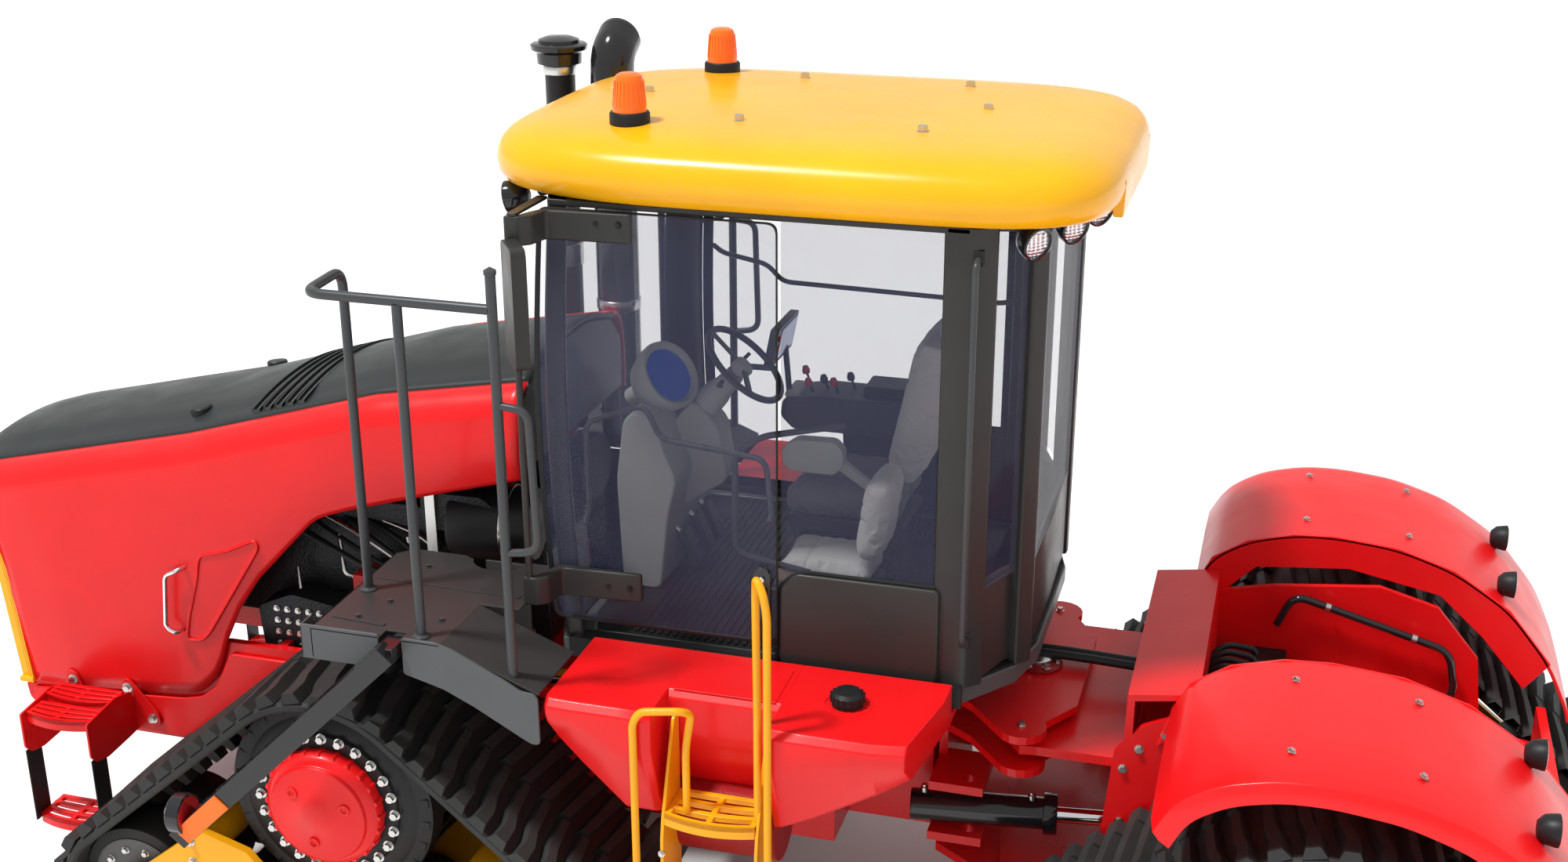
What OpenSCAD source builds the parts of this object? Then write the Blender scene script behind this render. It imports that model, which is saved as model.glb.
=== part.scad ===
/* [Overall] */
// Distance between the front and the rear axle centres
wheelbase = 4040; // [3700:10:4400]
// Front axle centre ahead of the origin
front_axle_x = 1552; // [1450:2:1650]
// Height of both axle centres above the ground
axle_z = 954; // [900:2:1010]
// Half of the length over the hood nose and the drawbar
half_length = 3920; // [3900:10:4200]

/* [Tracks] */
// Width of each track belt
belt_w = 762; // [660:2:800]
// Outer face of each belt, measured from the middle plane
belt_outer_y = 1500; // [1480:5:1600]
// Thickness of a belt with its lugs
belt_t = 100; // [80:2:110]
// Radius of the belt's inner face round the drive wheel
drive_r = 470; // [420:5:480]
// Radius of the front and rear idler wheels
idler_r = 270; // [230:5:280]
// Distance of each idler axle from the axle centre
idler_reach = 1000; // [900:10:1050]
// Radius of the carrier rollers along the ground run
roller_r = 150; // [110:5:160]
// Radius of the axle spindle that a track unit turns on
spindle_r = 110; // [90:1:130]
// Radial running clearance of the pivots
pivot_gap = 0.05; // [0.02:0.01:0.1]

/* [Frame] */
// Half width over the front frame rails
rail_y = 600; // [580:5:610]
// Thickness of the frame plates
plate_t = 40; // [25:1:50]
// Underside of the frame
frame_z0 = 620; // [580:5:660]
// Top edge of the front frame rails
frame_z1 = 1180; // [1120:5:1220]
// Height of the roll axis and the drive line
drive_z = 830; // [800:5:860]
// Distance of the articulation pin behind the origin
hinge_x = 1220; // [1180:5:1260]
// Radius of the roll trunnion tube
trunnion_r = 150; // [120:1:170]
// Radius of the vertical articulation pins
hinge_pin_r = 60; // [45:1:75]

/* [Steering cylinders] */
// Sideways place of each barrel's swivel pin
barrel_y = 500; // [480:5:520]
// Distance of the barrel's swivel pin behind the origin
barrel_x = 1010; // [990:5:1030]
// Sideways place of each rod's eye
eye_y = 400; // [380:5:420]
// Distance of each rod's eye behind the origin
eye_x = 1760; // [1740:5:1790]
// Outer radius of a barrel
barrel_r = 70; // [55:1:75]
// Radius of a chromed rod
rod_r = 35; // [25:1:40]

/* [Cab] */
// Half width over the cab pillars
cab_y = 880; // [840:5:900]
// Front face of the cab
cab_front_x = 720; // [690:5:740]
// Rear face of the cab behind the origin
cab_rear_x = 1250; // [1180:5:1280]
// Underside of the cab floor
cab_z0 = 1530; // [1500:5:1560]
// Height of the floor sill
sill_h = 90; // [70:5:110]
// Underside of the roof
roof_z = 3490; // [3400:5:3600]
// Thickness of the roof shell with its air ducts
roof_t = 270; // [220:5:300]
// Thickness of the safety glass
glass_t = 12; // [6:1:15]
// Top edge of the lower body panels
panel_z = 2030; // [1950:5:2100]
// Rear edge of the left door behind the origin
door_rear_x = 270; // [240:5:300]

/* [Hood] */
// Half width of the hood at its lower edge
hood_y = 640; // [620:5:650]
// Height of the hood's rear end above the ground
hood_rear_z = 2550; // [2500:5:2620]
// Height of the hood's nose above the ground
hood_nose_z = 1850; // [1850:5:1950]
// Wall of the hood shell
hood_wall = 30; // [20:1:40]

/* [Platforms and tanks] */
// Height of the platform deck over each front track
deck_z = 1830; // [1800:5:1860]
// Outer face of the platforms, tanks and rear fenders
body_y = 1500; // [1480:5:1550]
// Top face of the fuel tanks
tank_z = 1650; // [1600:5:1680]
// Diameter of the handrail tubes
rail_d = 40; // [30:1:45]
// Top of the handrails
rail_top_z = 3210; // [3000:10:3300]

/* [Hidden] */
$fn = 48;

rear_axle_x = front_axle_x - wheelbase;
belt_inner_y = belt_outer_y - belt_w;
idler_z = idler_r + belt_t;
hub_face_y = belt_outer_y - 10;
axle_flange_y = belt_inner_y - 25;
spindle_end_y = belt_outer_y - 300;
roof_top_z = roof_z + roof_t;
sill_z = cab_z0 + sill_h;
red = "#c8141a";
dark = "#2b2b2d";
yellow = "#f4b81a";
steel = "#8f9296";
black = "#161616";
grey = "#9a9a98";
tint = [0.35, 0.38, 0.5, 0.35];

// ---------- shared shapes ----------
module box(x, y, z) {
    translate([x[0], y[0], z[0]]) cube([x[1] - x[0], y[1] - y[0], z[1] - z[0]]);
}

// A plate with an outline in X and Z, between two heights in Y.
module side_plate(outline, y0, y1) {
    translate([0, y1, 0]) rotate([90, 0, 0]) linear_extrude(y1 - y0) polygon(outline);
}

// A plate with an outline in X and Y, between two heights in Z.
module flat_plate(outline, z0, z1) {
    translate([0, 0, z0]) linear_extrude(z1 - z0) polygon(outline);
}

module both_sides() {
    children();
    mirror([0, 1, 0]) children();
}

// A cylinder along Y.
module drum(x, z, y0, y1, r) {
    translate([x, y1, z]) rotate([90, 0, 0]) cylinder(h = y1 - y0, r = r);
}

// A cylinder along X.
module shaft(x0, x1, y, z, r) {
    translate([x0, y, z]) rotate([0, 90, 0]) cylinder(h = x1 - x0, r = r);
}

function unit(v) = v / norm(v);
function dot(a, b) = a * b;
// Points of a route with each corner turned into a curve of four steps.
function bent(p, bend) = [
    p[0],
    for (i = [1:len(p) - 2])
        let (a = p[i] + unit(p[i - 1] - p[i]) * bend, b = p[i] + unit(p[i + 1] - p[i]) * bend)
        for (s = [0:0.25:1]) a * (1 - s) * (1 - s) + p[i] * 2 * s * (1 - s) + b * s * s,
    p[len(p) - 1]
];
function headings(p) = [for (i = [0:len(p) - 1]) unit(p[min(i + 1, len(p) - 1)] - p[max(i - 1, 0)])];
function carried(t, u, i = 0, done = []) =
    i == len(t) ? done :
    let (v = unit(u - t[i] * dot(u, t[i]))) carried(t, v, i + 1, concat(done, [v]));
function first_side(t) = abs(t[2]) < 0.9 ? [0, 0, 1] : [1, 0, 0];

// A bent tube along a route of corner points.
module bent_tube(corners, d, bend = 60, sides = 8) {
    p = bend > 0 ? bent(corners, bend) : corners;
    t = headings(p);
    u = carried(t, first_side(t[0]));
    rings = [for (i = [0:len(p) - 1]) for (k = [0:sides - 1])
        let (a = 360 * k / sides) p[i] + (u[i] * cos(a) + cross(t[i], u[i]) * sin(a)) * d / 2];
    last = (len(p) - 1) * sides;
    polyhedron(rings, concat(
        [[for (k = [0:sides - 1]) k]],
        [[for (k = [sides - 1:-1:0]) last + k]],
        [for (i = [0:len(p) - 2]) for (k = [0:sides - 1])
            let (a = i * sides + k, b = i * sides + (k + 1) % sides) [a, a + sides, b + sides, b]]));
}

// ---------- front frame ----------
tail_x = -820;
neck_x = -400;
neck_y = 340;
saddle_w = 200;
cab_mount_x = [-700, 300];
saddle_z0 = axle_z - 190;
saddle_z1 = axle_z + 190;

module front_frame() {
    color(red) difference() {
        union() {
            both_sides() {
                side_plate([[neck_x, frame_z0], [3540, frame_z0], [3600, 700], [3600, 1000], [2500, frame_z1],
                    [neck_x, frame_z1]], rail_y - plate_t, rail_y);
                side_plate([[tail_x, frame_z0], [neck_x, frame_z0], [neck_x, frame_z1], [tail_x, frame_z1]],
                    neck_y - plate_t, neck_y);
            }
            for (x = [neck_x, 500, 2250]) box([x - plate_t, x], [-rail_y, rail_y], [frame_z0, frame_z1]);
            box([3480, 3480 + plate_t], [-rail_y, rail_y], [frame_z0, 1000]);
            box([tail_x, tail_x + plate_t], [-neck_y, neck_y], [frame_z0, frame_z1]);
            // cross beams with the cab mounts on top
            for (x = cab_mount_x) {
                box([x, x + 120], [-neck_y + 1, neck_y - 1], [frame_z1 - 60, frame_z1]);
                both_sides() box([x, x + 120], [180, neck_y - 40], [frame_z1 - 1, cab_z0]);
            }
            both_sides() box([cab_mount_x[1], cab_mount_x[1] + 120], [neck_y - 2, rail_y - 1], [frame_z1 - 60, frame_z1]);
        }
        both_sides() box([front_axle_x - saddle_w, front_axle_x + saddle_w], [rail_y - 2 * plate_t, rail_y + 1],
            [frame_z0 - 1, saddle_z1]);
        // openings that the drive line passes through
        for (x = [500, 2250]) shaft(x - 100, x + 60, 0, drive_z, 170);
        // bearings of the roll trunnion
        for (x = [tail_x, neck_x - plate_t]) shaft(x - 1, x + plate_t + 1, 0, drive_z, trunnion_r + pivot_gap);
    }
}

module axle_solid() {
    box([-saddle_w, saddle_w], [-rail_y, rail_y], [saddle_z0 - axle_z, saddle_z1 - axle_z]);
    both_sides() {
        drum(0, 0, rail_y - 1, axle_flange_y, 150);
        drum(0, 0, axle_flange_y - 40, axle_flange_y, 210);
        drum(0, 0, axle_flange_y - 1, spindle_end_y, spindle_r);
    }
}

module front_axle() {
    color(red) translate([front_axle_x, 0, axle_z]) {
        axle_solid();
        // differential nose towards the drive shaft
        shaft(-saddle_w - 160, -saddle_w + 1, 0, drive_z - axle_z, 110);
    }
}

module rear_axle() {
    color(red) translate([rear_axle_x, 0, axle_z]) {
        axle_solid();
        shaft(saddle_w - 1, saddle_w + 160, 0, drive_z - axle_z, 110);
    }
}

module drive_shaft() {
    color(steel) {
        shaft(neck_x + 20, front_axle_x - saddle_w - 160, 0, drive_z, 60);
        shaft(neck_x + 20, neck_x + 100, 0, drive_z, 100);
    }
}

module engine() {
    color("#33373b") {
        box([1500, 2900], [-330, 330], [frame_z1 + 20, 1880]);
        box([1000, 1501], [-260, 260], [frame_z1 + 20, 1700]);
        box([2899, 3180], [-420, 420], [1050, 1800]);
    }
}

// ---------- fuel tanks ----------
tank_front_x = 520;
tank_rear_x = -1010;
ladder_front_x = 60;
ladder_rear_x = -390;
tank_in_y = 640;
tank_z0 = 1130;
recess_y = 1290;

tank_shelf_z = cab_z0 - 20;
tank_top_in_y = cab_y + 45;

module tank_half() {
    difference() {
        side_plate([[tank_front_x, tank_z], [tank_front_x, 1430], [200, tank_z0], [-400, tank_z0],
            [-930, 1440], [tank_rear_x, tank_z]], tank_in_y, body_y);
        // the outer side leans in towards the bottom
        translate([0, body_y, tank_z0 - 1]) side_wedge();
        // shelf under the cab floor
        box([tank_rear_x - 1, tank_front_x + 1], [tank_in_y - 1, tank_top_in_y], [tank_shelf_z, tank_z + 1]);
        box([ladder_rear_x, ladder_front_x], [recess_y, body_y + 1], [tank_z0 - 1, tank_z + 1]);
        // rear corner slants inwards
        flat_plate([[tank_rear_x - 1, 1000], [-930, body_y + 1], [tank_rear_x - 1, body_y + 1]], tank_z0 - 1, tank_z + 1);
        // recess round the filler
        translate([-640, 1200, tank_z - 60]) cylinder(h = 61, r = 95);
    }
    translate([-640, 1200, tank_z - 61]) cylinder(h = 91, r = 62);
}

module side_wedge() {
    translate([tank_rear_x - 10, 0, 0]) rotate([90, 0, 90]) linear_extrude(tank_front_x - tank_rear_x + 20)
        polygon([[-150, 0], [0, 320], [1, 320], [1, 0]]);
}

module fuel_tanks() {
    color(red) both_sides() tank_half();
}

// ---------- ladder, steps, platforms ----------
module ladder_rail(points) {
    bent_tube(points, rail_d * 0.75, 40);
}

tread_z = [450, 820, 1200];
ladder_y = [recess_y + 5, body_y + 10];

module cab_ladder() {
    color(yellow) {
        for (x = [ladder_rear_x + 25, ladder_front_x - 40]) side_plate_x(x);
        for (z = tread_z) ladder_tread(z);
        ladder_rail([[ladder_front_x + 70, ladder_y[1] + 10, 700], [ladder_front_x + 70, ladder_y[1] + 10, 1640],
            [ladder_front_x - 60, ladder_y[1] + 10, 1672], [ladder_front_x - 60, ladder_y[1] - 60, 1560],
            [ladder_front_x - 60, ladder_y[1] - 60, tank_z0 + 90]]);
        ladder_rail([[ladder_rear_x - 20, ladder_y[1] + 10, 700], [ladder_rear_x - 20, ladder_y[1] + 10, 2200],
            [ladder_rear_x + 40, ladder_y[1] + 10, 2280], [ladder_rear_x + 40, ladder_y[1] - 60, 2200],
            [ladder_rear_x + 40, ladder_y[1] - 60, tank_z0 + 30]]);
    }
}

module side_plate_x(x) {
    box([x, x + 15], ladder_y, [tread_z[0] - 30, tank_z - 80]);
}

module ladder_tread(z) {
    difference() {
        box([ladder_rear_x + 38, ladder_front_x - 38], ladder_y, [z, z + 30]);
        for (i = [0:2]) box([ladder_rear_x + 80, ladder_front_x - 80], [ladder_y[0] + 30 + 60 * i, ladder_y[0] + 65 + 60 * i],
            [z - 1, z + 31]);
    }
}

step_x = [3010, 3390];
step_out_y = 1010;
front_tread_z = [300, 850];

module front_steps() {
    color(red) both_sides() {
        for (x = [step_x[0], step_x[1] - 12]) {
            // side plates that bolt to the frame, and the straps below them
            translate([x, 0, 0]) rotate([90, 0, 90]) linear_extrude(12) polygon([[rail_y, 640], [rail_y, 800],
                [rail_y + 46, 820], [rail_y + 60, 870], [step_out_y, front_tread_z[1] + 25], [step_out_y, 640], [step_out_y - 110, 600]]);
            box([x, x + 12], [step_out_y - 110, step_out_y], [front_tread_z[0], 641]);
        }
        step_tread([rail_y + 100, 850], front_tread_z[1] + 20);
        step_tread([851, step_out_y], front_tread_z[1]);
        step_tread([800, step_out_y], front_tread_z[0]);
    }
}

module step_tread(y, z) {
    difference() {
        box([step_x[0] + 11, step_x[1] - 11], y, [z, z + 25]);
        for (i = [0:2]) box([step_x[0] + 40, step_x[1] - 40], [y[0] + 20 + 45 * i, y[0] + 40 + 45 * i], [z - 1, z + 26]);
    }
}

deck_x = [760, 1500];
wing_y = 1120;
fold_x = 935;
deck_y = [690, body_y];

module platform() {
    flat_plate([[deck_x[0], deck_y[0]], [deck_x[1] - 40, deck_y[0]], [deck_x[1], deck_y[0] + 60], [deck_x[1], deck_y[1]],
        [fold_x, deck_y[1]], [fold_x, wing_y], [deck_x[0], wing_y]], deck_z - 8, deck_z);
    // fascia with the slanted panel that runs down to the tank
    side_plate([[1545, 1680], [1545, deck_z + 8], [fold_x, deck_z + 8], [tank_front_x + 8, tank_z + 20],
        [tank_front_x + 8, 1450], [tank_front_x + 48, 1450], [fold_x, 1660]], body_y - 12, body_y);
    // slanted wing between the deck and the tank
    side_plate([[fold_x + 1, deck_z], [tank_front_x + 8, tank_z + 20], [tank_front_x + 8, tank_z + 12],
        [fold_x + 1, deck_z - 8]], wing_y, body_y - 11);
    box([deck_x[1] - 8, deck_x[1]], [deck_y[0] + 60, deck_y[1]], [1700, deck_z]);
    // bracket down to the frame
    box([900, 1100], [rail_y, deck_y[0] + 12], [1110, 1125]);
    box([900, 1100], [deck_y[0], deck_y[0] + 12], [1110, deck_z - 7]);
}

module track_platforms() {
    color(dark) both_sides() difference() {
        platform();
        box([1105, 1195], [1435, body_y + 1], [1740, deck_z + 20]);
    }
}

post_x = [1440, 1034, 650];

module railing() {
    bent_tube([[post_x[0], 1115, deck_z], [post_x[0], 1115, rail_top_z], [post_x[0] - 20, 1430, rail_top_z],
        [post_x[2], 1450, rail_top_z]], rail_d, 70);
    bent_tube([[post_x[1], 1450, deck_z], [post_x[1], 1450, rail_top_z]], rail_d, 0);
    bent_tube([[post_x[2], 1450, tank_z + 60], [post_x[2], 1450, rail_top_z + 160]], rail_d, 0);
    bent_tube([[post_x[2], 1450, 2850], [post_x[2] - 130, 1450, 2850], [post_x[2] - 130, 1450, 2240],
        [post_x[2], 1450, 2240]], rail_d * 0.8, 60);
}

module platform_railings() {
    color(dark) both_sides() railing();
}

marker_arm = [[1130, 1555, 1800], [2080, 1700, 880]];

module marker_arms() {
    color(dark) both_sides() {
        bent_tube([marker_arm[0], marker_arm[1]], 80, 0, 4);
        box([1110, 1190], [1440, 1530], [1750, 1810]);
    }
}

module marker_lamps() {
    both_sides() {
        color("#e86a10") translate([1930, 1722, 1015]) rotate([0, 44, 8]) cube([190, 8, 60], center = true);
        color("#b01010") translate([2110, 1700, 960]) rotate([0, 90, 0]) cylinder(h = 70, r = 75);
    }
}

// ---------- cab ----------
cab_corner_x = -1000;
cab_tail_y = 620;
function cab_plan(inset) = [
    [cab_front_x - inset, -cab_y + 160 + inset / 2], [cab_front_x - 60 - inset, -cab_y + inset],
    [cab_corner_x, -cab_y + inset], [-cab_rear_x + 60 + inset, -cab_tail_y + inset / 2],
    [-cab_rear_x + inset, -400], [-cab_rear_x + inset, 400],
    [-cab_rear_x + 60 + inset, cab_tail_y - inset / 2], [cab_corner_x, cab_y - inset],
    [cab_front_x - 60 - inset, cab_y - inset], [cab_front_x - inset, cab_y - 160 - inset / 2]
];

module cab_ring(inset, wall, z0, z1) {
    difference() {
        flat_plate(cab_plan(inset), z0, z1);
        flat_plate(cab_plan(inset + wall), z0 - 1, z1 + 1);
    }
}

module cab_floor() {
    color(dark) {
        flat_plate(concat([for (p = cab_plan(0)) p]), cab_z0, sill_z - 30);
        cab_ring(0, 60, sill_z - 31, sill_z);
        both_sides() box([cab_corner_x - 30, cab_front_x - 80], [cab_y - 1, cab_y + 25], [cab_z0, sill_z]);
    }
}

module cab_pillars() {
    color(dark) {
        cab_ring(0, 60, roof_z - 90, roof_z);
        both_sides() {
            // front pillars
            intersection() {
                cab_ring(0, 60, sill_z, roof_z - 89);
                box([cab_front_x - 130, cab_front_x], [cab_y - 130, cab_y + 1], [sill_z, roof_z]);
            }
            // rear pillars
            intersection() {
                cab_ring(0, 60, sill_z, roof_z - 89);
                box([cab_corner_x - 80, cab_corner_x + 60], [cab_y - 200, cab_y + 1], [sill_z, roof_z]);
            }
            // rear window posts
            intersection() {
                cab_ring(0, 50, sill_z, roof_z - 89);
                box([-cab_rear_x, -cab_rear_x + 80], [cab_tail_y - 60, cab_tail_y + 1], [sill_z, roof_z]);
            }
        }
    }
}

module cab_lower_panels() {
    color(dark) {
        both_sides() {
            box([cab_corner_x + 61, -door_rear_x - 10], [cab_y - 40, cab_y + 20], [sill_z, panel_z]);
        }
        intersection() {
            cab_ring(4, 40, sill_z, panel_z);
            box([-cab_rear_x, cab_corner_x - 81], [-cab_tail_y + 61, cab_tail_y - 61], [sill_z, panel_z]);
        }
        both_sides() intersection() {
            cab_ring(4, 40, sill_z, panel_z);
            box([-cab_rear_x + 81, cab_corner_x - 81], [cab_tail_y - 59, cab_y], [sill_z, panel_z]);
        }
    }
}

roof_nose_x = 1040;
roof_rear_x = -1510;
roof_y = 950;
function roof_plan(inset) = [
    [roof_nose_x - inset, -560], [860 - inset, -roof_y + 90 + inset], [650, -roof_y + inset], [-1050, -roof_y + inset],
    [roof_rear_x + 200 + inset, -roof_y + 110 + inset], [roof_rear_x + inset, -500], [roof_rear_x + inset, 500],
    [roof_rear_x + 200 + inset, roof_y - 110 - inset], [-1050, roof_y - inset], [650, roof_y - inset],
    [860 - inset, roof_y - 90 - inset], [roof_nose_x - inset, 560]
];

module cab_roof() {
    color(yellow) {
        flat_plate(roof_plan(40), roof_z + 1, roof_z + 60);
        flat_plate(roof_plan(0), roof_z + 60, roof_z + 190);
        flat_plate(roof_plan(60), roof_z + 190, roof_top_z);
    }
}

module cab_windows() {
    color(tint) {
        // windscreen
        box([cab_front_x - 30 - glass_t, cab_front_x - 30], [-cab_y + 131, cab_y - 131], [sill_z + 2, roof_z - 91]);
        // right side window and the fixed left rear window
        box([cab_corner_x + 61, cab_front_x - 131], [-cab_y, -cab_y + glass_t], [panel_z + 2, roof_z - 91]);
        box([-door_rear_x + 10, cab_front_x - 131], [-cab_y, -cab_y + glass_t], [sill_z + 2, panel_z - 1]);
        box([cab_corner_x + 61, -door_rear_x - 8], [cab_y - glass_t, cab_y], [panel_z + 2, roof_z - 91]);
        // rear window and its two side lights
        box([-cab_rear_x + 10, -cab_rear_x + 10 + glass_t], [-cab_tail_y + 85, cab_tail_y - 85], [panel_z + 2, roof_z - 91]);
        both_sides() intersection() {
            cab_ring(4, glass_t, panel_z + 2, roof_z - 91);
            box([-cab_rear_x + 82, cab_corner_x - 82], [cab_tail_y - 59, cab_y], [panel_z, roof_z]);
        }
    }
}

floor_z = sill_z - 30;

module dashboard() {
    color(grey) {
        box([440, 640], [-260, 330], [floor_z, 2420]);
        // steering column rising towards the seat
        translate([430, 0, 2230]) rotate([0, -42, 0]) translate([-70, -80, 0]) cube([150, 160, 330]);
        // round gauge pod
        translate([540, 120, 2520]) rotate([0, 60, 180]) cylinder(h = 130, r = 150);
    }
}

module control_console() {
    color(grey) {
        box([-640, 80], [-600, -340], [2150, 2330]);
        box([-560, -200], [-560, -400], [floor_z, 2151]);
        // armrest screen on its stalk
        translate([60, -470, 2320]) rotate([0, -20, 0]) cube([30, 60, 200]);
        translate([20, -560, 2480]) rotate([0, -15, 0]) cube([50, 320, 190]);
    }
}

module seat_bases() {
    color(dark) {
        box([-620, -120], [-200, 200], [floor_z, 1980]);
        box([-560, -180], [320, 660], [floor_z, 1840]);
    }
}

// A cushion with rounded edges.
module cushion(size, r) {
    hull() for (x = [r, size[0] - r]) for (y = [r, size[1] - r]) for (z = [r, size[2] - r])
        translate([x, y, z]) sphere(r = r, $fn = 14);
}

module driver_seat() {
    color(grey) {
        translate([-640, -260, 1985]) cushion([560, 520, 150], 50);
        translate([-690, -250, 2145]) rotate([0, -12, 0]) cushion([140, 500, 700], 55);
    }
}

module instructor_seat() {
    color(grey) {
        translate([-600, 300, 1845]) cushion([430, 380, 120], 45);
        translate([-620, 320, 1975]) rotate([0, -8, 0]) cushion([100, 340, 380], 40);
    }
}

wheel_c = [139, 0, 2577];
wheel_tilt = 42;

module steering_wheel() {
    color(dark) translate(wheel_c) rotate([0, -wheel_tilt, 0]) {
        rotate_extrude() translate([205, 0]) circle(r = 15);
        difference() {
            translate([0, 0, -50]) cylinder(h = 60, r = 45);
            translate([0, 0, -51]) cylinder(h = 30, r = 20);
        }
        for (a = [0, 120, 240]) rotate([0, 0, a]) box([40, 196], [-15, 15], [-8, 6]);
    }
}

// ---------- stacks, mirrors, lamps ----------
stack_y = 800;
exhaust_x = 1030;
elbow_r = 120;
intake_x = 1290;

module exhaust_pipe() {
    color(dark) {
        translate([exhaust_x, -stack_y, deck_z]) cylinder(h = 1890, r = 104);
        // the elbow turns the outlet away from the cab
        translate([exhaust_x, -stack_y - elbow_r, deck_z + 1890]) rotate([90, 0, 90])
            rotate_extrude(angle = 90) translate([elbow_r, 0]) circle(r = 104);
    }
}

module air_intake() {
    color(dark) {
        translate([intake_x, -stack_y, deck_z]) cylinder(h = 1880, r = 72);
        translate([intake_x, -stack_y, deck_z + 1879]) cylinder(h = 60, r = 110);
        translate([intake_x, -stack_y, deck_z + 1939]) cylinder(h = 70, r = 135);
        // clamp band
        translate([intake_x, -stack_y, deck_z + 900]) cylinder(h = 120, r = 80);
    }
}

pole_x = 735;
pole_y = 1060;
arm_z = [[1853, 1930], [3388, 3455]];

module mirrors() {
    color(dark) both_sides() {
        translate([pole_x, pole_y, deck_z + 1]) cylinder(h = 3473 - deck_z - 1, r = 14);
        for (z = [1835, 3461]) box([pole_x - 32, pole_x + 14], [cab_y - 115, pole_y + 14], [z, z + 12]);
        translate([pole_x - 30, pole_y + 22, 2900]) mirror_head();
    }
}

module mirror_head() {
    rotate([0, 0, 35]) box([0, 60], [-30, 170], [0, 480]);
    box([5, 50], [-30, 10], [200, 240]);
}

module cab_grab_rails() {
    color(steel) both_sides() bent_tube([[-1030, cab_y + 1, 1820], [-1030, cab_y + 50, 1840],
        [-1030, cab_y + 50, 3360], [-1030, cab_y + 1, 3380]], 26, 15);
}

module lamp(p, aim_rear) {
    translate(p) rotate([0, aim_rear ? -90 : 90, 0]) {
        cylinder(h = 45, r = 66);
        translate([0, 0, -45]) cylinder(h = 46, r = 45);
    }
}

module work_lamps() {
    color(black) both_sides() {
        lamp([-1260, 700, 3425], true);
        lamp([-1330, 420, 3425], true);
        lamp([-1370, 140, 3425], true);
        lamp([900, 620, 3425], false);
        lamp([900, 300, 3425], false);
    }
}

module beacons() {
    both_sides() translate([418, 593, roof_top_z]) {
        color(black) cylinder(h = 30, r = 80);
        color("#f06010") {
            translate([0, 0, 29]) cylinder(h = 150, r1 = 66, r2 = 52);
        }
    }
}

// ---------- hood ----------
hood_rear_x = 950;
hood_nose_x = half_length;
hood_drop = hood_rear_z - hood_nose_z;
hood_fall = [[0, 0], [0.063, 0.08], [0.43, 0.43], [0.757, 0.83], [1, 1]];
function hood_edge(x) = hood_nose_z + hood_drop * lookup((hood_nose_x - x) / (hood_nose_x - hood_rear_x), hood_fall);
// Outline of the side panel, with the wheel arch at its lower rear.
hood_side = [
    [hood_rear_x, 2176], [1342, 2074], [1769, 1950], [1970, 1870], [2081, 1753], [2283, 1539], [2488, 1190],
    [2560, 990], [2650, 907], [hood_nose_x - 290, 812], [hood_nose_x - 240, 812], [hood_nose_x - 160, 1544], [hood_nose_x, hood_nose_z - 60],
    for (s = [1:-0.125:0]) let (x = hood_rear_x + (hood_nose_x - hood_rear_x) * s) [x, hood_edge(x)]
];

module hood_panels() {
    color(red) both_sides() {
        difference() {
            side_plate(hood_side, 0, hood_y);
            side_plate([for (p = hood_side) [p[0], p[1]]], -1, hood_y - hood_wall);
        }
    }
}

module hood_top() {
    color(dark) {
        for (s = [0:0.125:0.875]) hood_slice(hood_rear_x + (hood_nose_x - hood_rear_x) * s,
            hood_rear_x + (hood_nose_x - hood_rear_x) * (s + 0.125));
    }
}

module hood_slice(x0, x1) {
    top = 50;
    side_plate([[x0, hood_edge(x0) - hood_wall], [x1, hood_edge(x1) - hood_wall], [x1, hood_edge(x1) + top], [x0, hood_edge(x0) + top]],
        -(hood_y - hood_wall), hood_y - hood_wall);
}

module grille() {
    color(yellow) {
        difference() {
            side_plate([[hood_nose_x - 265, 812], [hood_nose_x - 240, 812], [hood_nose_x - 160, 1544], [hood_nose_x - 20, hood_nose_z - 80],
                [hood_nose_x - 60, hood_nose_z - 80], [hood_nose_x - 190, 1544]], -(hood_y - hood_wall), hood_y - hood_wall);
            for (i = [-9:9]) box([hood_nose_x - 300, hood_nose_x], [i * 56 - 20, i * 56 + 20], [880, hood_nose_z - 130]);
        }
    }
}

module hood_handles() {
    color("silver") both_sides() bent_tube([[2763, hood_y + 1, 1200], [2763, hood_y + 45, 1200], [2763, hood_y + 45, 1540],
        [2763, hood_y + 1, 1540]], 20, 25);
}

// ---------- left door ----------
door_x = [-door_rear_x, cab_front_x - 25];
door_z = [tank_z + 50, roof_z - 35];
door_y0 = cab_y + 5;

module door_frame() {
    color(black) difference() {
        box(door_x, [door_y0, door_y0 + 20], door_z);
        box([door_x[0] + 30, door_x[1] - 30], [door_y0 - 1, door_y0 + 21], [door_z[0] + 40, door_z[1] - 40]);
    }
}

module door_glass() {
    color(tint) box([door_x[0] + 30, door_x[1] - 30], [door_y0 + 4, door_y0 + 4 + glass_t], [door_z[0] + 40, door_z[1] - 40]);
}

module door_arms() {
    color(dark) for (z = arm_z) difference() {
        union() {
            box([300, pole_x - 60], [door_y0 + 20, door_y0 + 45], z);
            translate([pole_x, pole_y, z[0]]) cylinder(h = z[1] - z[0], r = 30);
            box([pole_x - 85, pole_x - 60], [door_y0 + 20, pole_y + 10], z);
            box([pole_x - 61, pole_x - 20], [pole_y - 15, pole_y + 10], z);
        }
        translate([pole_x, pole_y, z[0] - 1]) cylinder(h = z[1] - z[0] + 2, r = 14 + pivot_gap);
    }
}

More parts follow.
